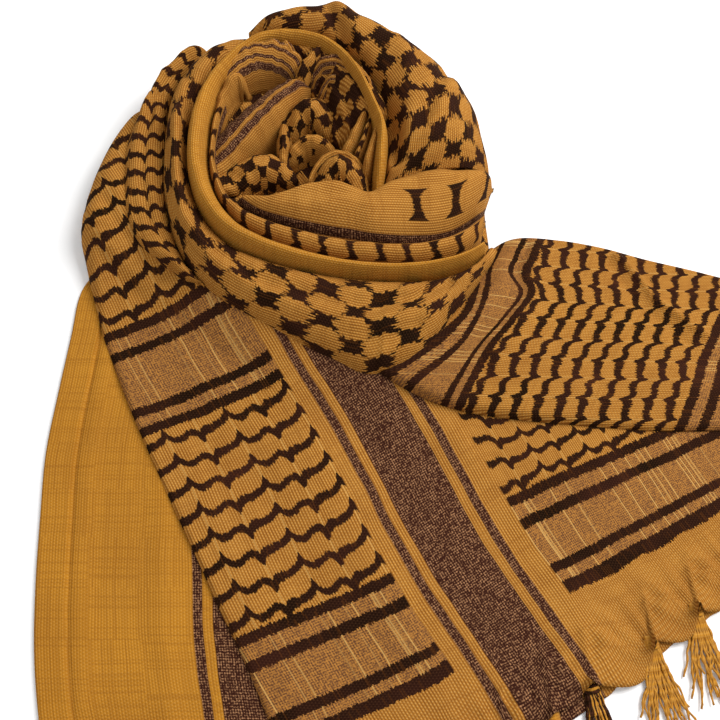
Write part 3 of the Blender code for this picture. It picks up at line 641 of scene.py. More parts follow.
def clothMaterial(name, kind, settings=None):
    settings = settings or {}
    material = bpy.data.materials.new(name)
    material.use_nodes = True
    tree = material.node_tree
    shader = tree.nodes["Principled BSDF"]
    layer = tree.nodes.new("ShaderNodeUVMap")
    layer.uv_map = "cloth"
    place = layer.outputs["UV"]
    threads = useGroup(tree, "threads", Cloth=place, Slip=settings.get("slip", 1.9))
    u, v, slipped = (threads.outputs[label] for label in ("U", "V", "Slipped"))
    thread, speckle = threads.outputs["Thread"], threads.outputs["Speckle"]
    twill, beadHighlight = threads.outputs["Twill"], threads.outputs["BeadHighlight"]
    cloudy = softNoise(tree, place, 14.0, 3.0)
    ochre = mixColour(tree, calc(tree, "MULTIPLY", softAbove(tree, cloudy, 0.56, 0.4), 0.3),
                      threadColours[settings.get("base", "ochre")], threadColours["ochreDeep"])
    # painted highlight: the raised picks turn a paler ochre
    ochre = mixColour(tree, calc(tree, "MULTIPLY", beadHighlight, settings.get("beadHighlights", 0.5)), ochre,
                      threadColours["ochrePale"])
    slubs = [
        whiteNoise(tree, calc(tree, "FLOOR", calc(tree, "DIVIDE", one, 1.1)),
                   calc(tree, "FLOOR", calc(tree, "DIVIDE", other, 37.0)))
        for one, other in ((u, v), (v, u))]
    slub = calc(tree, "MULTIPLY", softAbove(tree, calc(tree, "MAXIMUM", *slubs), 0.8, 0.4), 0.28)
    ochre = mixColour(tree, slub, ochre, threadColours["ochreDeep"])
    # painted shade: the ochre turns darker in the grooves between the ribs
    grooveShade = calc(tree, "MULTIPLY", threads.outputs["GrooveShade"], settings.get("grooveShade", 0.92))
    ochre = mixColour(tree, grooveShade, ochre, threadColours["ochreDeep"])
    ticks = calc(tree, "MULTIPLY", softAbove(tree, thread, 0.88, 0.02), 0.15)
    dark = mixColour(tree, softAbove(tree, cloudy, 0.55, 0.4), threadColours["black"],
                     threadColours["purple"])
    # painted highlight: the dark threads' raised picks turn a little paler
    dark = mixColour(tree, calc(tree, "MULTIPLY", beadHighlight, 0.08), dark, threadColours["purplePale"])
    dark = mixColour(tree, ticks, dark, threadColours["ochreDeep"])
    fleck = calc(tree, "ADD", twill, calc(tree, "MULTIPLY", calc(tree, "SUBTRACT", speckle, 0.5), 0.9))
    brown = mixColour(tree, softAbove(tree, fleck, 0.0, 0.8), threadColours["purple"],
                      threadColours["ochre"])
    brown = mixColour(tree, 0.35, brown, threadColours["purplePale"])
    woven = mixColour(tree, softAbove(tree, fleck, 0.38, 0.8), threadColours["purple"],
                      threadColours["fleck"])
    colour, mask = ochre, None
    relief = threads.outputs["Height"]
    if kind == "layout":
        part = useGroup(tree, "zones", U=u, Panels=settings.get("panels", 1.0), V=calc(
            tree, "ADD", v, calc(tree, "MULTIPLY", calc(tree, "SUBTRACT", thread, 0.5), 2.0)))
        start = calc(tree, "ADD", calc(tree, "MULTIPLY", softAbove(tree, v, 360.0, 1.0), 7.8), 142.0)
        wave = useGroup(tree, "brick", U=u, V=calc(
            tree, "MULTIPLY", calc(tree, "SUBTRACT", slipped, start), settings.get("rows", 1.0)),
            Bold=settings.get("bold", 0.1))
        rows = calc(tree, "MULTIPLY", wave.outputs["Mask"], part.outputs["Rows"])
        pale = calc(tree, "MULTIPLY", wave.outputs["Line"], part.outputs["Rows"])
        colour = mixColour(tree, calc(tree, "MULTIPLY", pale, 0.4), colour,
                           threadColours["ochrePale"])
        pulled = whiteNoise(tree, calc(tree, "FLOOR", calc(tree, "DIVIDE", u, 1.0)), 3.0)
        brown = mixColour(tree, calc(tree, "MULTIPLY", softAbove(tree, pulled, 0.92, 0.02), 0.6),
                          brown, threadColours["ochrePale"])
        colour = mixColour(tree, part.outputs["Brown"], colour, brown)
        colour = mixColour(tree, part.outputs["Band"], colour, woven)
        mask = calc(tree, "ADD", rows, part.outputs["Stripe"], clamp=True)
    elif kind == "net":
        step = whiteNoise(tree, calc(tree, "FLOOR", calc(tree, "DIVIDE", v, 2.4)), 5.0)
        step = calc(tree, "MULTIPLY", calc(tree, "SUBTRACT", step, 0.5), 2.4)
        patchy = calc(tree, "MULTIPLY", calc(tree, "SUBTRACT", softNoise(tree, place, 40.0), 0.5), 0.9)
        wave = useGroup(
            tree, "net", U=calc(tree, "ADD", u, step), V=slipped, Wide=settings.get("wide", 14.0),
            High=settings.get("high", 15.0), Power=settings.get("power", 0.7),
            Size=calc(tree, "ADD", patchy, settings.get("size", 1.15)))
        mask = wave.outputs["Mask"]
    elif kind == "brick":
        wave = useGroup(tree, "brick", U=calc(tree, "MULTIPLY", u, settings.get("wide", 1.0)),
                        V=calc(tree, "MULTIPLY", slipped, settings.get("high", 1.0)),
                        Bold=settings.get("bold", 0.5))
        mask = wave.outputs["Mask"]
    elif kind == "dash":
        wave = useGroup(
            tree, "dash", Along=calc(tree, "SUBTRACT", slipped, settings.get("shift", 0.0)),
            Across=calc(tree, "SUBTRACT", u, settings["middle"]),
            Pitch=settings.get("pitch", 24.0), Reach=settings.get("reach", 8.0),
            Bend=settings.get("bend", 1.8), Foot=settings.get("foot", 3.2),
            Waist=settings.get("waist", 2.5))
        mask = wave.outputs["Mask"]
        if "from" in settings:
            mask = calc(tree, "MULTIPLY", mask, softAbove(tree, v, settings["from"], 1.0))
        if "stripe" in settings:
            low, high = settings["stripe"]
            band = calc(tree, "MULTIPLY", softAbove(tree, u, low, 0.8),
                        softAbove(tree, calc(tree, "SUBTRACT", high, u), 0.0, 0.8))
            colour = mixColour(tree, band, colour, woven)
    elif kind == "stripes":
        for low, high in settings["bands"]:
            band = calc(tree, "MULTIPLY", softAbove(tree, u, low, 0.8),
                        softAbove(tree, calc(tree, "SUBTRACT", high, u), 0.0, 0.8))
            colour = mixColour(tree, band, colour, woven)
    if mask is not None:
        colour = mixColour(tree, mask, colour, dark)
    worn = softNoise(tree, place, 5.0, 4.0)
    shade = mixColour(tree, calc(tree, "MULTIPLY", softAbove(tree, worn, 0.42, 0.5), 0.22),
                      (1.0, 1.0, 1.0, 1.0), (0.78, 0.70, 0.62, 1.0))
    colour = mixColour(tree, 1.0, colour, shade, "MULTIPLY")
    tree.links.new(colour, shader.inputs["Base Color"])
    if mask is not None:
        relief = calc(tree, "ADD", relief, calc(tree, "MULTIPLY", mask, 0.9))
    relief = calc(tree, "ADD", relief, calc(tree, "MULTIPLY", softNoise(tree, place, 180.0), 0.8))
    bump = tree.nodes.new("ShaderNodeBump")
    bump.inputs["Strength"].default_value = settings.get("bump", 0.5)
    bump.inputs["Distance"].default_value = 0.0004
    tree.links.new(relief, bump.inputs["Height"])
    tree.links.new(bump.outputs["Normal"], shader.inputs["Normal"])
    rough = calc(tree, "ADD", calc(tree, "MULTIPLY", speckle, 0.1), 0.82)
    tree.links.new(rough, shader.inputs["Roughness"])
    shader.inputs["Specular IOR Level"].default_value = 0.02
    shader.inputs["Sheen Weight"].default_value = 0.03
    shader.inputs["Sheen Roughness"].default_value = 0.5
    shader.inputs["Sheen Tint"].default_value = threadColours["ochrePale"]
    return material


# the swirl

roll = {"rows": (
    (13, 121, 56, 8),
    (16, 150, 78, 10),
    (17, 170, 85, 10),
    (11, 190, 86, 10),
    (0, 219, 86, 10),
    (-15, 244, 84, 10),
    (-33, 261, 82, 10),
    (-59, 269, 80, 11),
    (-83, 268, 77, 12),
    (-102, 255, 75, 13),
    (-121, 230, 73, 14),
    (-131, 199, 72, 16),
    (-133, 167, 71, 17),
    (-130, 138, 70, 16),
    (-120, 111, 68, 15),
    (-101, 88, 66, 14),
    (-76, 74, 64, 12),
    (-46, 64, 62, 11),
    (-12, 57, 60, 8.5),
    (23, 55, 58, 8),
    (54, 58, 57, 7.5),
    (79, 66, 55, 6.5),
    (95, 78, 50, 5),
    (101, 90, 42, 3.5),
),
    "sections": 260, "steps": 7, "fullness": 1.0, "under": (), "seed": 1.0, "wider": 0.8,
    "closing": 0.035, "endFall": 0.4,
    "tuck": (5.0, 5.0), "uneven": (0.9, 18.0), "rim": 0.42}

frontBand = {"rows": (
    (8.25, -88, 290, 0.62, 50),
    (8.5, -101, 290, 0.64, 61),
    (8.85, -125, 287, 0.65, 61),
    (9.3, -143, 273, 0.64, 64),
    (10.0, -157, 250, 0.60, 64),
    (10.7, -164, 224, 0.60, 62),
    (11.4, -164, 195, 0.60, 61),
    (12.2, -163, 165, 0.60, 60),
    (13.0, -160, 132, 0.60, 59),
    (13.8, -152, 98, 0.60, 58),
    (14.6, -138, 68, 0.62, 56),
    (15.3, -118, 46, 0.66, 54),
    (16.0, -94, 29, 0.70, 53),
    (16.7, -69, 15, 0.72, 52),
    (17.4, -43, 1, 0.74, 51),
    (18.0, -18, -11, 0.74, 50),
    (18.7, 6, -21, 0.74, 50),
    (19.4, 34, -14, 0.74, 50),
    (20.2, 56, 3, 0.70, 49),
    (21.0, 72, 22, 0.66, 47),
    (21.8, 87, 43, 0.60, 44),
    (22.3, 98, 60, 0.55, 39),
    (22.7, 107, 74, 0.50, 33),
    (23.0, 112, 86, 0.50, 27),
),
    "sections": 230, "steps": 13, "fullness": 0.7, "under": ("left_panel", "main_flap", "right_panel"),
    "seed": 2.0, "tuck": (1.0, 8.0), "uneven": (2.6, 22.0), "creases": (
        (4.5, 5.0, ((-152, 200), (-150, 150), (-140, 100), (-118, 68))),
        (-5.0, 4.5, ((-160, 178), (-156, 130), (-146, 92), (-128, 62))),
        (3.4, 6.0, ((-110, 62), (-78, 36), (-40, 20), (10, 8), (50, 22))),
        (-4.6, 4.5, ((-120, 74), (-84, 48), (-44, 33), (0, 24), (40, 30), (70, 46))),
        (-3.6, 4.0, ((-100, 38), (-60, 15), (-24, 2), (14, -6), (44, 8))),
        (2.8, 4.0, ((-60, 8), (-20, -8), (12, -16), (40, -4))),
        (-3.0, 4.0, ((-150, 250), (-143, 225), (-143, 200))))}

leftFold = {"rows": (
    (1.2, -138, 294, 0.5, 24),
    (1.5, -149, 292, 0.5, 41),
    (2.0, -163, 281, 0.5, 47),
    (2.7, -178, 259, 0.5, 47),
    (3.6, -187, 234, 0.5, 46),
    (4.5, -193, 208, 0.5, 45),
    (5.5, -197, 181, 0.5, 44),
    (6.4, -195, 149, 0.5, 44),
    (7.2, -192, 122, 0.5, 44),
    (8.0, -183, 97, 0.5, 43),
    (8.7, -166, 76, 0.5, 42),
    (9.4, -142, 58, 0.5, 40),
    (9.8, -128, 52, 0.5, 24),
),
    "sections": 150, "steps": 11, "fullness": 0.8, "under": ("main_flap",),
    "seed": 3.0, "tuck": (1.0, 6.0), "uneven": (2.6, 17.0), "creases": (
        (4.2, 4.0, ((-172, 262), (-184, 226), (-189, 184), (-188, 140))),
        (-5.0, 3.6, ((-166, 252), (-177, 220), (-181, 184), (-180, 146), (-170, 104))),
        (3.2, 3.5, ((-171, 206), (-174, 176), (-172, 144), (-160, 104))),
        (-3.0, 3.0, ((-190, 170), (-186, 130), (-176, 96)))  )}

dashBand = {"rows": (
    (10.0, -106, 233, 0.45, 60),
    (10.6, -111, 213, 0.5, 62),
    (11.4, -116, 188, 0.5, 63),
    (12.3, -118, 160, 0.5, 63),
    (13.2, -113, 137, 0.5, 63),
    (14.3, -101, 115, 0.5, 62),
    (15.2, -83, 102, 0.55, 62),
    (16.4, -56, 91, 0.6, 61),
    (17.5, -24, 83, 0.6, 60),
    (18.6, 12, 78, 0.6, 59),
    (19.6, 43, 79, 0.6, 58),
    (20.6, 67, 86, 0.6, 56),
    (21.4, 85, 99, 0.6, 52),
    (22.1, 97, 113, 0.6, 46),
    (22.6, 103, 122, 0.6, 38),
    (22.9, 106, 128, 0.6, 16),
),
    "sections": 190, "steps": 9, "fullness": 0.85, "under": ("main_flap", "right_panel"),
    "seed": 4.0, "tuck": (7.0, 3.0), "uneven": (1.3, 20.0), "knownOuter": True, "creases": ()}

plainBand = {"rows": (
    (5.2, -89, 121, 0.55, 60),
    (6.0, -70, 118, 0.6, 66),
    (6.6, -54, 121, 0.72, 70),
    (7.3, -38, 126, 0.82, 72),
    (8.0, -20, 128, 0.85, 72),
    (8.6, -6, 124, 0.84, 71),
    (9.1, 8, 122, 0.78, 69),
    (9.6, 24, 133, 0.76, 68),
    (10.2, 44, 140, 0.75, 67),
    (10.9, 66, 147, 0.74, 65),
    (11.8, 88, 154, 0.72, 60),
    (12.7, 103, 158, 0.70, 51),
    (13.5, 111, 160, 0.65, 38),
    (13.8, 114, 161, 0.60, 22),
    (13.95, 115.5, 161.5, 0.60, 9),
),
    "sections": 160, "steps": 11, "fullness": 0.8, "under": ("main_flap", "right_panel"),
    "seed": 5.0, "tuck": (6.0, 6.0), "uneven": (1.6, 26.0), "knownOuter": True, "anchor": 0.0,
    "creases": (
        (-1.6, 4.0, ((-60, 110), (-20, 112), (30, 118), (80, 132))),
        (1.4, 4.5, ((-30, 104), (20, 104), (70, 118), (104, 140))))}

crown = {"rows": (
    (0.25, 113, 165, 0.60, 52),
    (0.7, 112, 180, 0.58, 72),
    (1.3, 108, 198, 0.56, 84),
    (1.9, 104, 217, 0.54, 88),
    (2.6, 93, 235, 0.52, 89),
    (3.3, 77, 255, 0.52, 88),
    (4.0, 53, 275, 0.52, 88),
    (4.7, 27, 293, 0.54, 88),
    (5.3, 4, 309, 0.56, 87),
    (5.9, -15, 322, 0.58, 85),
    (6.5, -36, 316, 0.58, 82),
    (7.1, -57, 311, 0.58, 80),
    (7.8, -79, 302, 0.58, 76),
    (8.4, -97, 289, 0.58, 66),
),
    "sections": 200, "steps": 15, "fullness": 0.9, "under": ("right_panel",),
    "seed": 6.0, "tuck": (1.0, 8.0), "uneven": (2.6, 34.0), "creases": (
        (3.4, 7.0, ((-20, 300), (-8, 272), (2, 244), (12, 222), (24, 200))),
        (-4.0, 5.0, ((-27, 290), (-14, 262), (-6, 246))),
        (3.0, 7.0, ((90, 246), (72, 200), (58, 162))),
        (-3.2, 5.0, ((80, 250), (62, 204), (50, 170))),
        (-3.0, 6.0, ((104, 192), (108, 172), (106, 158))),
        (2.2, 8.0, ((33, 262), (40, 216), (38, 176))),
        (-9.0, 5.5, ((29, 150), (30, 172), (25, 192), (14, 220), (2, 240)))), }

hollowFolds = {
    "woven_fold": {
        "kind": "stripes", "look": {"bands": ((-17, -10), (-6, -3), (3, 6), (10, 20))}, "rim": 0.75,
        "rows": ((-128, 216, 52, 14), (-112, 237, 68, 24), (-88, 251, 76, 29), (-64, 250, 76, 26),
                 (-47, 235, 62, 16))},
    "leaf_fold": {
        "kind": "plain", "look": {},
        "rows": ((-124, 196, 50, 9), (-112, 221, 67, 12), (-103, 231, 71, 12), (-98, 224, 62, 9))},
    "striped_fold": {
        "kind": "stripes", "look": {"bands": ((-3, 4), (8, 24))}, "rim": 0.35,
        "rows": ((-133, 142, 38, 20), (-108, 172, 58, 32), (-84, 198, 67, 36), (-57, 227, 66, 26),
                 (-42, 240, 52, 16))},
    "top_fold": {
        "kind": "net", "look": {"wide": 10.0, "high": 12.0},
        "rows": ((-55, 219, 52, 8), (-49, 235, 71, 14), (-39, 249, 77, 13), (-28, 267, 70, 8))},
    "knob_fold": {
        "kind": "stripes", "look": {"bands": ((-6, -3), (3, 6))}, "node": "top_fold",
        "rows": ((-68, 268, 68, 8), (-60, 256, 77, 13), (-53, 242, 64, 8))},
    "arc_fold": {
        "kind": "stripes", "look": {"bands": ((-20, -5), (-2, 2), (5, 8), (11, 20))}, "rim": 0.7,
        "rows": ((-45, 232, 54, 10), (-30, 243, 74, 16), (-11, 236, 78, 18), (3, 220, 77, 16),
                 (6, 200, 60, 10))},
    "inner_arc": {
        "kind": "stripes", "look": {"bands": ((-8, -3), (0, 2), (4, 9))}, "node": "arc_fold",
        "rim": 0.7,
        "rows": ((-37, 218, 48, 9), (-25, 229, 66, 12), (-12, 224, 69, 12), (-5, 210, 66, 12),
                 (-13, 192, 48, 9))},
    "fan_outer": {
        "kind": "plain", "look": {}, "node": "fan_fold",
        "rows": ((7, 222, 68, 4), (4, 193, 72, 11), (-6, 169, 70, 14), (-18, 150, 56, 9))},
    "fan_middle": {
        "kind": "dash", "look": {"middle": 0.0, "reach": 7.0, "pitch": 11.0}, "node": "fan_fold",
        "rows": ((10, 212, 66, 5), (8, 185, 71, 8), (1, 162, 69, 9), (-6, 148, 58, 7))},
    "fan_inner": {
        "kind": "plain", "look": {}, "node": "fan_fold",
        "rows": ((14, 208, 70, 5), (14, 178, 74, 9), (8, 153, 73, 10), (2, 134, 58, 8))},
    "middle_fold": {
        "kind": "net", "look": {"wide": 11.0, "high": 13.0, "size": 1.1}, "rim": 0.35,
        "rows": ((-66, 184, 44, 18), (-51, 204, 63, 28), (-36, 206, 64, 28), (-22, 188, 44, 16))},
    "hanging_fold": {
        "kind": "net", "look": {"wide": 10.0, "high": 14.0, "size": 1.0}, "node": "middle_fold",
        "rows": ((-62, 205, 48, 8), (-64, 181, 56, 13), (-63, 154, 46, 8))},
    "ledge_fold": {
        "kind": "net", "look": {"wide": 14.0, "high": 10.0, "size": 0.8}, "node": "middle_fold",
        "rows": ((-64, 163, 42, 10), (-47, 177, 53, 17), (-31, 176, 54, 16), (-16, 160, 46, 9))},
    "lower_fold": {
        "kind": "net", "look": {"wide": 11.0, "high": 12.0, "size": 1.15},
        "rows": ((-120, 134, 38, 14), (-96, 150, 50, 26), (-76, 157, 51, 28), (-52, 148, 40, 14))},
    "knot_fold": {
        "kind": "plain", "look": {}, "rim": 0.7,
        "rows": ((-44, 124, 44, 8), (-34, 146, 59, 10), (-18, 156, 63, 11), (-2, 147, 61, 10),
                 (6, 124, 50, 8))},
    "knot_dome": {
        "kind": "net", "look": {"wide": 9.0, "high": 17.0, "size": 1.1}, "node": "knot_fold",
        "rows": ((-38, 122, 46, 16), (-24, 142, 66, 30), (-10, 143, 67, 31), (4, 122, 50, 16))},
}


def rollOuter(number):
    return edgeOf(roll["rows"], number, 1, 2 * plan["seam"])


def rollInner(number):
    return edgeOf(roll["rows"], number, -1, 2 * plan["seam"])


def makeSwirl():
    bandSheet("front_band", frontBand, rollOuter, clothMaterial(
        "front_weave", "net", {"wide": 14.0, "high": 22.0, "size": 1.10, "power": 0.62, "slip": 6.0}))
    bandSheet("left_fold", leftFold, lambda number: beside(frontBand["rows"], number + 1.0, 1),
              clothMaterial("left_weave", "brick", {"wide": 1.6, "high": 1.2}))
    bandSheet("dash_band", dashBand, rollInner, clothMaterial(
        "dash_weave", "dash", {"middle": -1.0, "reach": 8.5, "pitch": 22.0, "stripe": (9.5, 16.5)}))
    ribbonSheet("rolled_selvedge", roll, clothMaterial("selvedge_weave", "plain", {"base": "plainOchre", "grooveShade": 0.5}))
    bandSheet("plain_band", plainBand, lambda number: beside(dashBand["rows"], number, -1),
              clothMaterial("plain_weave", "dash", {
                  "middle": 46.0, "reach": 14.0, "pitch": 36.0, "shift": 19.0, "from": 128.0,
                  "bend": 0.4, "foot": 7.0, "waist": 3.6,
                  "stripe": (12.0, 21.0)}))
    bandSheet("crown", crown, rollOuter, clothMaterial(
        "crown_weave", "net", {"wide": 18.0, "high": 18.0, "size": 1.14, "power": 0.66, "slip": 6.0}))
    for seed, (name, fold) in enumerate(hollowFolds.items()):
        settings = {"rows": fold["rows"], "sections": 44, "steps": 8, "fullness": 1.0, "under": (),
                    "seed": 20.0 + seed, "closing": 0.16, "tuck": (4.0, 4.0), "wider": 0.4,
                    "uneven": (2.6, 7.0), "rim": fold.get("rim", 0.5)}
        ribbonSheet(name, settings, clothMaterial(name + "_weave", fold["kind"], fold["look"]),
                    fold.get("node"))


# the hidden layers, seen between the folds in the hollow and round the foot

lining = {"rings": 150, "turns": 260, "share": 0.955, "seed": 41.0, "sink": 1.4, "below": 12.0,
          "fall": 1.25, "reach": 46.0, "bulges": ((-0.05, 0.2, 18.0), (1.98, 0.30, 6.0))}


def bulgeAt(angle):
    # how much further the layers reach where the bands end
    more = 0.0
    for middle, wide, reach in lining["bulges"]:
        away = (angle - middle + math.pi) % (2.0 * math.pi) - math.pi
        more += reach * math.exp(-(away / wide) ** 2)
    return more


def funnelHeight(x, y):
    # the cloth inside the roll's high side, falling away from it in long soft folds
    best, level, place = 1e9, 0.0, 0.0
    rows = roll["rows"][2:11]
    for index, ((ax, ay, aCrest, aWide), (bx, by, bCrest, bWide)) in enumerate(zip(rows, rows[1:])):
        run, rise = bx - ax, by - ay
        along_ = ((x - ax) * run + (y - ay) * rise) / (run * run + rise * rise)
        along_ = min(max(along_, 0.0), 1.0)
        away = math.hypot(x - ax - run * along_, y - ay - rise * along_)
        if away < best:
            best = away
            level = blend(aCrest, bCrest, along_)
            place = index + along_
    inside = best / lining["reach"]
    if inside > 1.4:
        return 0.0
    ends = smoothStep(place / 1.2) * smoothStep((len(rows) - 1 - place) / 1.2)
    folds = 2.2 * math.sin(best * 0.62 + 0.9 * place) * smoothStep((best - 8.0) / 8.0)
    return (level - lining["below"] - lining["fall"] * max(best - 7.0, 0.0) + folds) * ends


def liningHeight(x, y, share):
    dx, dy = x - mound["middle"][0], y - mound["middle"][1]
    more = bulgeAt(math.atan2(dy, dx))
    if more > 0.5:
        radius = math.hypot(dx, dy)
        ridge, height, reach = moundAt(math.atan2(dy, dx))
        lifted = height * (1.0 - (max(radius - ridge, 0.0) / (reach + more - ridge)) ** 2)
        level = max(moundTop(x, y), lifted if radius > ridge else 0.0) - lining["sink"]
    else:
        level = moundTop(x, y) - lining["sink"]
    bend = 9.0 * noise.noise(Vector((x / 34.0, y / 34.0, 3.0)))
    waves = noise.noise(Vector(((x + bend) / 11.0, (y - bend) / 17.0, lining["seed"])))
    crumple = 6.0 * (0.5 - abs(waves)) * (1.0 - smoothStep((share - 0.45) / 0.25))
    level = level + crumple - 3.0
    if math.hypot(x - mound["middle"][0], y - mound["middle"][1]) < 118.0:
        level = max(level, funnelHeight(x, y) + 0.4 * crumple)
    return max(level, 0.6)


def makeLining():
    grid, layout = [], []
    for ring in range(lining["rings"] + 1):
        share = (0.002 + 0.998 * ring / lining["rings"])
        points, places = [], []
        for turn in range(lining["turns"] + 1):
            angle = 2.0 * math.pi * turn / lining["turns"]
            radius = lining["share"] * (moundAt(angle)[2] + bulgeAt(angle)) * share
            x = mound["middle"][0] + radius * math.cos(angle)
            y = mound["middle"][1] + radius * math.sin(angle)
            points.append((x, y, liningHeight(x, y, share)))
            places.append((0.8 * x + 0.6 * y, 0.8 * y - 0.6 * x))
        grid.append(points)
        layout.append(places)
    makeSheet("hollow_lining", grid, layout, clothMaterial(
        "lining_weave", "net", {"wide": 11.0, "high": 14.0, "size": 1.3, "power": 0.7, "slip": 4.0}),
        ["hidden_layers"], wall=0.8)


makeLining()
print("lining made")


# the laid corners

def flapPlace(x, y):
    # the cloth's own place: across from the wide stripe's middle, and up from the fringed edge
    across = 0.872 * x + 0.49 * y + 14.5
    up = 0.872 * y - 0.49 * x
    # the part by the right panel is gathered, so more cloth lies on the same floor
    near = smoothStep((up + 290.0) / 100.0)
    fan = smoothStep((up + 290.0) / 140.0)
    turn = (305.0 + 0.12 * min(across + 58.0, 0.0) - 0.06 * min(max(across + 58.0, 0.0), 113.0)
            + 0.10 * fan * max(across - 55.0, 0.0) - 10.0 * (1.0 - near))
    place = up + turn
    across += 2.4 * math.sin(up / 37.0 + 0.008 * across) * smoothStep((up + 310.0) / 60.0)
    if across > 54.0:
        gathered = smoothStep((across - 54.0) / 30.0)
        place += 0.35 * gathered * max(place - 150.0, 0.0)
        across += 0.3 * (across - 54.0)
    return across, place


def softMax(a, b, reach):
    return 0.5 * (a + b + math.sqrt((a - b) ** 2 + reach ** 2))


mainFlap = {"rows": (
    (-194, 247, -187, 242, 4, 6, 8, 8),
    (-204, 224, -186, 214, 9, 24, 29, 29),
    (-219, 193, -188, 183, 14, 30, 34, 33),
    (-230, 158, -187, 150, 18, 31, 35, 34),
    (-235, 126, -184, 122, 20, 30, 35, 34),
    (-234, 106, -174, 98, 18, 27, 33, 34),
    (-229, 88, -152, 76, 15, 21, 28, 34),
    (-223, 68, -130, 60, 12, 16, 22, 33),
    (-215, 44, -108, 45, 9, 12, 17, 32),
    (-206, 17, -86, 33, 7, 9, 13, 31),
    (-192, -15, -56, 18, 6, 8, 11, 30),
    (-177, -48, -22, 2, 5, 7, 10, 29),
    (-159, -84, 14, -10, 5, 7, 8, 27),
    (-139, -123, 60, -24, 5, 7, 7, 15),
    (-119, -161, 112, -33, 5, 7, 6, 8),
    (-99, -200, 172, -40, 5, 6.5, 5.5, 4.0),
    (-79, -237, 235, -42, 5, 6.4, 5.2, 2.6),
    (-62, -273, 310, -41, 5, 6.3, 4.8, 2.2),
    (-42, -316, 404, -40, 5, 6.2, 4.2, 2.2),
    (-18, -364, 404, -85, 5, 6.2, 3.8, 2.2),
),
    "sections": 225, "columns": 190, "hemTassels": (
        -4, 29, 63, 96, 129, 158, 203, 237, 270, 303, 336, 369, 395),
    "lobes": (14, 11, 15, 9, 5, 20, 16, 13, 15, 12, 14, 9), "creases": (
        (1.3, 13.0, ((-60, -20), (-24, -110), (20, -190), (60, -262))),
        (-1.1, 10.0, ((-95, -60), (-62, -130), (-26, -208), (6, -280))),
        (1.0, 9.0, ((-150, -40), (-118, -110), (-84, -180), (-50, -250))),
        (1.4, 9.0, ((70, -60), (112, -122), (150, -190), (176, -236))),
        (-1.2, 9.0, ((40, -60), (84, -140), (124, -214))),
        (1.6, 5.0, ((-214, 168), (-196, 132), (-176, 104), (-150, 78))),
        (-1.8, 4.5, ((-220, 150), (-204, 116), (-184, 88), (-160, 62))),
        (1.5, 5.0, ((-226, 126), (-206, 92), (-180, 64), (-150, 42))),
        (-1.4, 5.0, ((-224, 100), (-200, 68), (-170, 42))))}

tasselPleats = {"high": 3.6, "wide": 2.6, "reach": 40.0, "fan": (-1.1, -0.5, 0.05, 0.6, 1.15)}


def hemLobe(x):
    places = mainFlap["hemTassels"]
    if x <= places[0] or x >= places[-1]:
        return 5.0
    for a, b, deep in zip(places, places[1:], mainFlap["lobes"]):
        if a <= x <= b:
            share = ((x - a) / (b - a)) ** (1.25 if deep > 13 else 0.85)
            return deep * math.sin(math.pi * share) ** 0.7
    return 0.0


def hemPleats():
    creases = []
    for x in mainFlap["hemTassels"]:
        y = -361.4 + 0.661 * (x + 14.0)
        for lean in tasselPleats["fan"]:
            reach = tasselPleats["reach"] * (1.0 - 0.3 * abs(lean))
            creases.append((tasselPleats["high"], tasselPleats["wide"], (
                (x, y), (x + reach * (lean * 0.834 - 0.5515), y + reach * (lean * 0.5515 + 0.834)))))
    return tuple(creases)


def makeMainFlap():
    grid, layout = [], []
    rows = mainFlap["rows"]
    pleats = hemPleats()
    for place in evenPlaces(rows, mainFlap["sections"], 4):
        left, right = along(rows, place)[:2], along(rows, place)[2:4]
        radius, *levels = along(rows, place)[4:]
        width = math.dist(left, right)
        rounded = min(radius, 0.4 * width)
        columns = mainFlap["columns"]
        distances = [rounded * (1.0 - math.cos(math.pi * step / 20)) for step in range(10)]
        distances += [blend(rounded, width, step / (columns - 10)) for step in range(columns - 9)]
        points, places = [], []
        for distance in distances:
            share = distance / width
            x, y = blend(left[0], right[0], share), blend(left[1], right[1], share)
            level = (levels[0] * (1 - share) * (1 - 2 * share) + levels[1] * 4 * share * (1 - share)
                     + levels[2] * share * (2 * share - 1))
            v = place / (len(rows) - 1)
            down = 0.8 * math.sin(2 * math.pi * (2.6 * share + 0.35 * v)) * smoothStep(
                (v - 0.35) / 0.3)
            shoulder = math.exp(-((v - 0.24) / 0.055) ** 2) * (1 - smoothStep((share - 0.3) / 0.35))
            level += down + 1.8 * shoulder * math.sin(2 * math.pi * v * 34.0)
            free = smoothStep(distance / 12.0)
            level += free * (creaseLift(x, y, mainFlap["creases"])
                             + unevenness(x, y, 11.0, 0.9, 40.0))
            cloth = flapPlace(x, y)
            nearHem = smoothStep((place - 17.6) / 1.4)
            if nearHem > 0.0:
                out = hemLobe(x) * nearHem
                level += creaseLift(x, y, pleats) * nearHem + 2.2 * nearHem * math.sin(
                    math.pi * min(hemLobe(x) / 20.0, 1.0))
                x, y = x + 0.5515 * out, y - 0.834 * out
            ground = restOn(x, y, ("left_panel",))
            level = softMax(level, ground + 2.2, 1.2)
            if distance < rounded:
                level = blend(ground, level, math.sqrt(
                    max(0.0, 1.0 - (1.0 - distance / rounded) ** 2)))
            points.append((x, y, max(level, 1.3)))
            places.append(cloth)
        grid.append(points)
        layout.append(places)
    makeSheet("main_flap", grid, layout, clothMaterial("flap_weave", "layout"), ["main_flap"])


hemTurn = {"start": 8.0, "end": 402.0, "sections": 170, "columns": 10, "inner": -9.0,
           "outer": 13.0, "uneven": 5.0, "level": 1.55, "cut": (473.0, 25.5)}


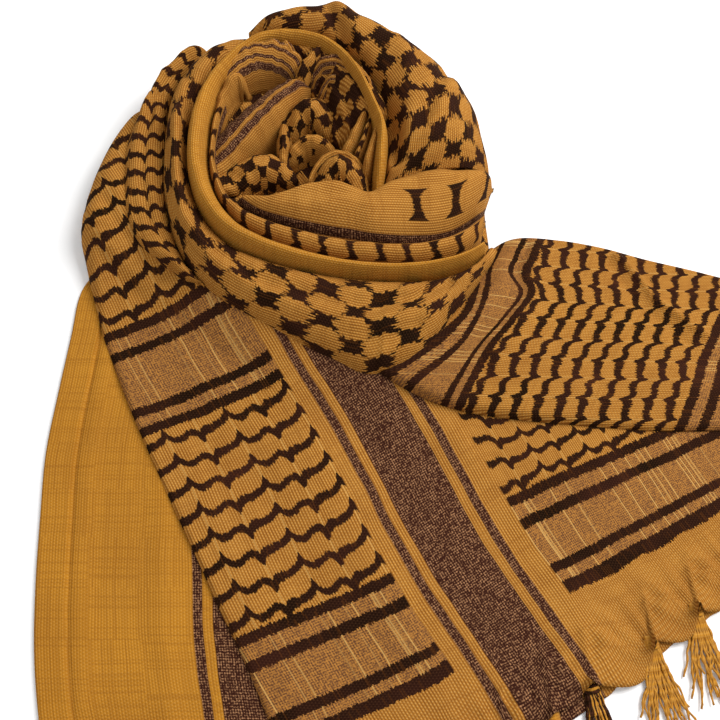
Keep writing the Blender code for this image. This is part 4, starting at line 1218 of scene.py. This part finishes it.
def makeHemTurn():
    # the turned edge that shows under the flap between the knots
    grid, layout = [], []
    for index in range(hemTurn["sections"] + 1):
        x = blend(hemTurn["start"], hemTurn["end"], index / hemTurn["sections"])
        y = -361.4 + 0.661 * (x + 14.0)
        outer = hemTurn["outer"] + hemTurn["uneven"] * noise.noise(Vector((x / 17.0, 0.0, 5.0)))
        points, places = [], []
        for column in range(hemTurn["columns"] + 1):
            share = column / hemTurn["columns"]
            out = blend(hemTurn["inner"], outer, share)
            spot = (x + 0.5515 * out, y - 0.834 * out)
            level = hemTurn["level"] + 0.9 * share * abs(math.sin(x / 7.0)) * (1.0 - share) * 4.0
            points.append((*spot, level))
            places.append(flapPlace(*spot))
        grid.append(points)
        layout.append(places)
    makeSheet("hem_turn", grid, layout, clothMaterial("hem_weave", "layout"), ["main_flap"],
              wall=0.8, cut=hemTurn["cut"])


# where each weft stripe crosses the right panel: y on the plan, then x for each place up the cloth
rightStripes = {
    "up": (20, 61, 79, 121, 138, 317, 420),
    "rows": (
        (-75, -90, -55, -15, 38, 52, 236, 345),
        (-50, -66, -28, 15, 61, 71, 250, 356),
        (-25, -25, 12, 47, 76, 84, 262, 366),
        (0, 12, 52, 77, 92, 99, 272, 375),
        (25, 42, 81, 92, 113, 119, 286, 388),
        (48, 55, 91, 99, 129, 134, 298, 400),
        (64, 57, 93, 103, 120, 130, 305, 408),
        (78, 64, 100, 109, 125, 137, 309, 412),
        (107, 80, 116, 123, 138, 151, 318, 420))}


def rightPlace(x, y):
    rows = rightStripes["rows"]
    place = 0.0
    for index in range(len(rows) - 1):
        if rows[index][0] <= y:
            place = index + (y - rows[index][0]) / (rows[index + 1][0] - rows[index][0])
    marks = along(rows, place)[1:]
    ups = rightStripes["up"]
    index = 0
    while index < len(marks) - 2 and x > marks[index + 1]:
        index += 1
    share = (x - marks[index]) / (marks[index + 1] - marks[index])
    return 60.0 + 1.55 * (100.0 - y), blend(ups[index], ups[index + 1], share)


rightPanel = {"rows": (
    (14, -20, 58, 24, 102, 90, 24, 28, 12),
    (42, -35, 80, 26, 112, 97, 20, 31, 18),
    (66, -44, 98, 27, 122, 101, 18, 30, 23),
    (92, -50, 117, 27, 136, 104, 16, 27, 24),
    (125, -54, 143, 26, 157, 105, 13, 22, 20),
    (160, -57, 169, 24, 181, 103, 11, 18, 16),
    (196, -60, 199, 21, 207, 99, 10, 14, 12),
    (232, -62, 232, 17, 238, 91, 9, 11, 9),
    (270, -62, 268, 12, 273, 82, 8, 9, 7),
    (310, -60, 308, 6, 312, 70, 7, 7, 6),
    (355, -56, 355, -1, 356, 56, 6, 5, 5),
    (400, -50, 400, -6, 400, 43, 5, 4, 4),
),
    "sections": 170, "columns": 70, "creases": (
        (5.0, 3.4, ((212, 90), (226, 72), (240, 48), (276, 18))),
        (-2.4, 5.0, ((203, 84), (216, 62), (230, 40), (262, 10))),
        (-2.6, 4.5, ((92, 7), (110, 25), (130, 50), (124, 68), (137, 94))),
        (2.6, 6.5, ((104, -4), (122, 18), (142, 46), (137, 70), (150, 96))),
        (2.2, 7.0, ((76, 14), (96, 34), (112, 54), (112, 74))),
        (-1.6, 7.0, ((60, -20), (96, 2), (116, 16))),
        (1.4, 10.0, ((170, -30), (230, -24), (300, -30), (360, -34))),
        (-1.2, 8.0, ((180, -8), (240, -4), (310, -12))),
        (1.6, 6.0, ((300, 40), (330, 10), (370, -10))))}


def makeRightPanel():
    grid, layout = [], []
    rows = rightPanel["rows"]
    for place in evenPlaces(rows, rightPanel["sections"]):
        row = along(rows, place)
        width = math.dist(row[:2], row[2:4]) + math.dist(row[2:4], row[4:6])
        rounded = min(6.0, 0.4 * width)
        columns = rightPanel["columns"]
        turns = [rounded * (1.0 - math.cos(math.pi * step / 16)) for step in range(8)]
        inner = columns - 16
        distances = turns + [blend(rounded, width - rounded, step / inner)
                             for step in range(inner + 1)]
        distances += [width - value for value in reversed(turns)]
        points, places = [], []
        for distance in distances:
            share = distance / width
            weights = ((1 - share) * (1 - 2 * share), 4 * share * (1 - share), share * (2 * share - 1))
            x, y, level = (
                sum(weight * row[column] for weight, column in zip(weights, columns3))
                for columns3 in ((0, 2, 4), (1, 3, 5), (6, 7, 8)))
            level += 0.7 * math.sin(5.0 * share + 1.7 * place)
            near = min(distance, width - distance)
            level += smoothStep(near / 12.0) * (
                creaseLift(x, y, rightPanel["creases"]) + unevenness(x, y, 12.0, 1.3, 30.0))
            ground = restOn(x, y, ("main_flap",))
            level = softMax(level, ground + 1.6, 1.2)
            if near < rounded:
                level = blend(ground, level, math.sqrt(max(0.0, 1.0 - (1.0 - near / rounded) ** 2)))
            points.append((x, y, max(level, 0.8)))
            places.append(rightPlace(x, y))
        grid.append(points)
        layout.append(places)
    makeSheet("right_panel", grid, layout, clothMaterial(
        "right_weave", "layout", {"rows": 1.263, "bold": 0.8}), ["right_panel"])


leftPanel = {"rows": (
    (-218, -196, 84),
    (-230, -180, 60),
    (-233, -165, 20),
    (-237, -145, -30),
    (-240, -125, -80),
    (-237.5, -102, -130),
    (-234, -78, -180),
    (-228, -52, -230),
    (-217, -30, -280),
    (-199, -5, -340),
),
    "sections": 150, "columns": 90, "hem": 22.5, "step": 1.6, "groove": 1.5, "creases": (
        (1.6, 9.0, ((-196, 60), (-205, -40), (-206, -150), (-192, -260))),
        (-1.2, 8.0, ((-176, 30), (-184, -60), (-182, -160), (-164, -280))),
        (1.8, 10.0, ((-150, 0), (-150, -100), (-138, -220), (-118, -330))))}


def makeLeftPanel():
    grid, layout = [], []
    rows = [(left, y, right) for left, right, y in leftPanel["rows"]]
    for place in evenPlaces(rows, leftPanel["sections"]):
        left, y, right = along(rows, place)
        width = right - left
        points, places = [], []
        for column in range(leftPanel["columns"] + 1):
            distance = width * (column / leftPanel["columns"]) ** 1.15
            x = left + distance
            hem = 1.0 - smoothStep((distance - leftPanel["hem"] + 1.2) / 2.4)
            shown = smoothStep((75.0 - y) / 30.0)
            level = 2.4 + leftPanel["step"] * hem * shown
            level -= leftPanel["groove"] * shown * math.exp(
                -((distance - leftPanel["hem"] - 1.4) / 1.3) ** 2)
            level += smoothStep((distance - 10.0) / 20.0) * max(
                0.0, creaseLift(x, y, leftPanel["creases"]) + unevenness(x, y, 13.0, 0.8, 45.0))
            level *= math.sqrt(min(1.0, 0.25 + distance / 2.0))
            points.append((x, y, level))
            places.append((-149.5 + distance, 330.0 + y))
        grid.append(points)
        layout.append(places)
    makeSheet("left_panel", grid, layout, clothMaterial("left_panel_weave", "layout", {
        "base": "plainOchre", "grooveShade": 0.3, "beadHighlights": 0.25, "panels": 0.0}), ["left_panel"])


# the knotted fringes

fringes = {
    "hem_fringe": {
        "start": (172, -238.5), "end": (402, -86.3), "length": 70.0, "lean": -0.48,
        "tassels": (37, 78, 118, 158, 197, 236, 267), "seed": 1},
    "hem_fringe_left": {
        "start": (-14, -361.4), "end": (144, -256.9), "length": 70.0, "lean": -0.48,
        "tassels": (12, 52, 92, 132, 172), "seed": 2},
    "band_tassel": {
        "start": (147, -254.9), "end": (169, -240.4), "length": 74.0, "lean": -0.42,
        "tassels": (13.2,), "seed": 3, "dark": True},
    "right_fringe": {
        "start": (400.4, -33), "end": (400.4, 41), "length": 60.0, "lean": 0.0,
        "tassels": (9, 37, 65), "seed": 4},
    "left_fringe": {
        "start": (-196, -340.6), "end": (-34, -340.6), "length": 60.0, "lean": 0.0,
        "tassels": (16, 48, 81, 113, 146), "seed": 5},
}
strand = {"count": 26, "steps": 22, "sides": 5, "radius": 1.05, "thin": 0.75, "twist": 0.4}


def yarnMaterial(name, dark):
    material = bpy.data.materials.new(name)
    material.use_nodes = True
    tree = material.node_tree
    shader = tree.nodes["Principled BSDF"]
    layer = tree.nodes.new("ShaderNodeUVMap")
    layer.uv_map = "cloth"
    threads = useGroup(tree, "threads", Cloth=layer.outputs["UV"], Slip=1.0)
    ply = calc(tree, "ADD", calc(tree, "MULTIPLY", threads.outputs["V"], 1.1),
               calc(tree, "MULTIPLY", threads.outputs["U"], 2.2))
    # the wound plies: the low turns between them take the darker colour, painted shade in the grooves between
    # plies
    wound = calc(tree, "ADD", calc(tree, "MULTIPLY", calc(tree, "SINE", ply), 0.5), 0.5)
    low, high = ("black", "purple") if dark else ("ochrePaintedShade", "plainOchre")
    colour = mixColour(tree, wound, threadColours[low], threadColours[high])
    colour = mixColour(tree, calc(tree, "MULTIPLY", threads.outputs["Speckle"], 0.1 if dark else 0.3), colour,
                       threadColours["purplePale" if dark else "ochrePale"])
    tree.links.new(colour, shader.inputs["Base Color"])
    bump = tree.nodes.new("ShaderNodeBump")
    bump.inputs["Strength"].default_value = 0.6
    bump.inputs["Distance"].default_value = 0.0003
    tree.links.new(wound, bump.inputs["Height"])
    tree.links.new(bump.outputs["Normal"], shader.inputs["Normal"])
    tree.links.new(calc(tree, "ADD", calc(tree, "MULTIPLY", wound, 0.1), 0.8),
                   shader.inputs["Roughness"])
    shader.inputs["Specular IOR Level"].default_value = 0.02
    shader.inputs["Sheen Weight"].default_value = 0.03
    shader.inputs["Sheen Tint"].default_value = threadColours["ochrePale"]
    return material


def tubeParts(path, radii, store, slot):
    # a closed six-sided tube along the path, its radius following two wound plies
    points, faces, layout, slots = store
    sides = strand["sides"]
    first = len(points)
    run = 0.0
    for index, spot in enumerate(path):
        before, after = path[max(index - 1, 0)], path[min(index + 1, len(path) - 1)]
        way = (after - before).normalized()
        side = way.cross(Vector((0, 0, 1))).normalized()
        up = side.cross(way)
        if index:
            run += (spot - path[index - 1]).length
        for corner in range(sides):
            angle = 2 * math.pi * corner / sides
            wide = radii[index] * (1.0 + 0.22 * math.cos(2 * (angle - strand["twist"] * run)))
            points.append(spot + side * wide * math.cos(angle) + up * wide * math.sin(angle))
            layout.append((corner * 1.1, run))
    for index in range(len(path) - 1):
        for corner in range(sides):
            after = (corner + 1) % sides
            a = first + index * sides
            faces.append((a + corner, a + after, a + sides + after, a + sides + corner))
            slots.append(slot)
    last = first + (len(path) - 1) * sides
    faces.append(tuple(first + corner for corner in reversed(range(sides))))
    faces.append(tuple(last + corner for corner in range(sides)))
    slots.extend((slot, slot))


def makeFringe(name, settings):
    start, end = Vector((*settings["start"], 0.0)), Vector((*settings["end"], 0.0))
    way = (end - start).normalized()
    outward = Vector((way.y, -way.x, 0.0))
    store = ([], [], [], [])
    for tassel, middle in enumerate(settings["tassels"]):
        hub = start + way * middle + outward * 1.5
        seed = settings["seed"] * 10 + tassel
        fall = (outward + way * settings["lean"]).normalized()
        aside = Vector((-fall.y, fall.x, 0.0))
        count = strand["count"] + (3 if settings.get("dark") else 0)
        for index in range(count):
            lane = index / (count - 1) - 0.5
            kink = noise.noise(Vector((seed * 1.7, index * 2.3, 0.5)))
            length = settings["length"] * (0.84 + 0.16 * math.sin(1.9 * index + seed))
            path, radii = [], []
            for step in range(strand["steps"] + 1):
                share = step / strand["steps"]
                wave = noise.noise(Vector((seed + index * 3.1, share * 4.2, 2.0))) * 9.0 * share
                spread = lane * (6.0 + 25.0 * share ** 1.1) + 0.7 * wave + kink * 10.0 * share ** 2
                layer = blend(3.4, 1.2, smoothStep(3.0 * share))
                layer += 2.4 * abs(math.sin(2.1 * index + 3.0 * share)) * (1 - 0.5 * share)
                lump = 3.0 * math.exp(-((share - 0.04) / 0.07) ** 2)
                path.append(hub + fall * (length * share - 3.0) + aside * spread
                            + Vector((0, 0, layer + 0.5 * lump)))
                radii.append(blend(strand["radius"], strand["thin"], share))
            tubeParts(path, radii, store, 1 if settings.get("dark") and index % 5 < 3 else 0)
        # the knot: three turns of the strands round the gathered threads
        for turn in range(3):
            ring, radii = [], []
            for step in range(15):
                angle = 2 * math.pi * step / 14
                ring.append(hub + fall * (0.5 + 2.0 * turn + 0.8 * math.sin(angle))
                            + aside * 4.4 * math.cos(angle)
                            + Vector((0, 0, 4.2 + 2.8 * math.sin(angle))))
                radii.append(1.6)
            tubeParts(ring, radii, store, 1 if settings.get("dark") and turn != 1 else 0)
    points, faces, layout, slots = store
    mesh = bpy.data.meshes.new(name + "_yarn")
    mesh.from_pydata([toFrame(point.x, point.y, max(point.z, 0.35)) for point in points], [], faces)
    mesh.update()
    layer = mesh.uv_layers.new(name="cloth")
    for loop in mesh.loops:
        u, v = layout[loop.vertex_index]
        layer.data[loop.index].uv = (u * 0.001, v * 0.001)
    mesh.shade_smooth()
    mesh.materials.append(yarnMaterial(name + "_yarn", False))
    if settings.get("dark"):
        mesh.materials.append(yarnMaterial(name + "_dark_yarn", True))
    mesh.polygons.foreach_set("material_index", slots)
    item = bpy.data.objects.new(name + "_yarn", mesh)
    bpy.context.scene.collection.objects.link(item)
    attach(item, "root")
    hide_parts(name)


for fringeName, fringeSettings in fringes.items():
    makeFringe(fringeName, fringeSettings)
print("fringes made")
makeLeftPanel()
makeMainFlap()
makeHemTurn()
makeRightPanel()
print("laid corners made")
makeSwirl()
print("swirl made")


# the floor and the light

studio = {"floor": 4.0, "key": 38.0, "fill": 5.0, "world": 0.61}


def makeStudio():
    bpy.ops.mesh.primitive_plane_add(size=studio["floor"], location=(0, 0, -0.0004))
    floor = bpy.context.object
    floor.name = "ground"
    material = bpy.data.materials.new("pale_floor")
    material.use_nodes = True
    shader = material.node_tree.nodes["Principled BSDF"]
    shader.inputs["Base Color"].default_value = (0.93, 0.93, 0.93, 1.0)
    shader.inputs["Roughness"].default_value = 0.9
    floor.data.materials.append(material)
    for label, power, size, place in (
            ("key_light", studio["key"], 1.0, (0.95, 0.6, 1.35)),
            ("fill_light", studio["fill"], 1.6, (-0.9, -0.9, 1.5))):
        data = bpy.data.lights.new(label, "AREA")
        data.energy = power
        data.size = size
        lamp = bpy.data.objects.new(label, data)
        bpy.context.scene.collection.objects.link(lamp)
        lamp.location = place
        aim = Vector((-0.05, 0.1, 0.0)) - Vector(place)
        lamp.rotation_euler = aim.to_track_quat("-Z", "Y").to_euler()
    world = bpy.data.worlds.new("studio")
    bpy.context.scene.world = world
    world.use_nodes = True
    back = world.node_tree.nodes["Background"]
    back.inputs["Color"].default_value = (1.0, 1.0, 1.0, 1.0)
    back.inputs["Strength"].default_value = studio["world"]
    bpy.context.scene.view_settings.view_transform = "Standard"


makeStudio()
print("studio made")
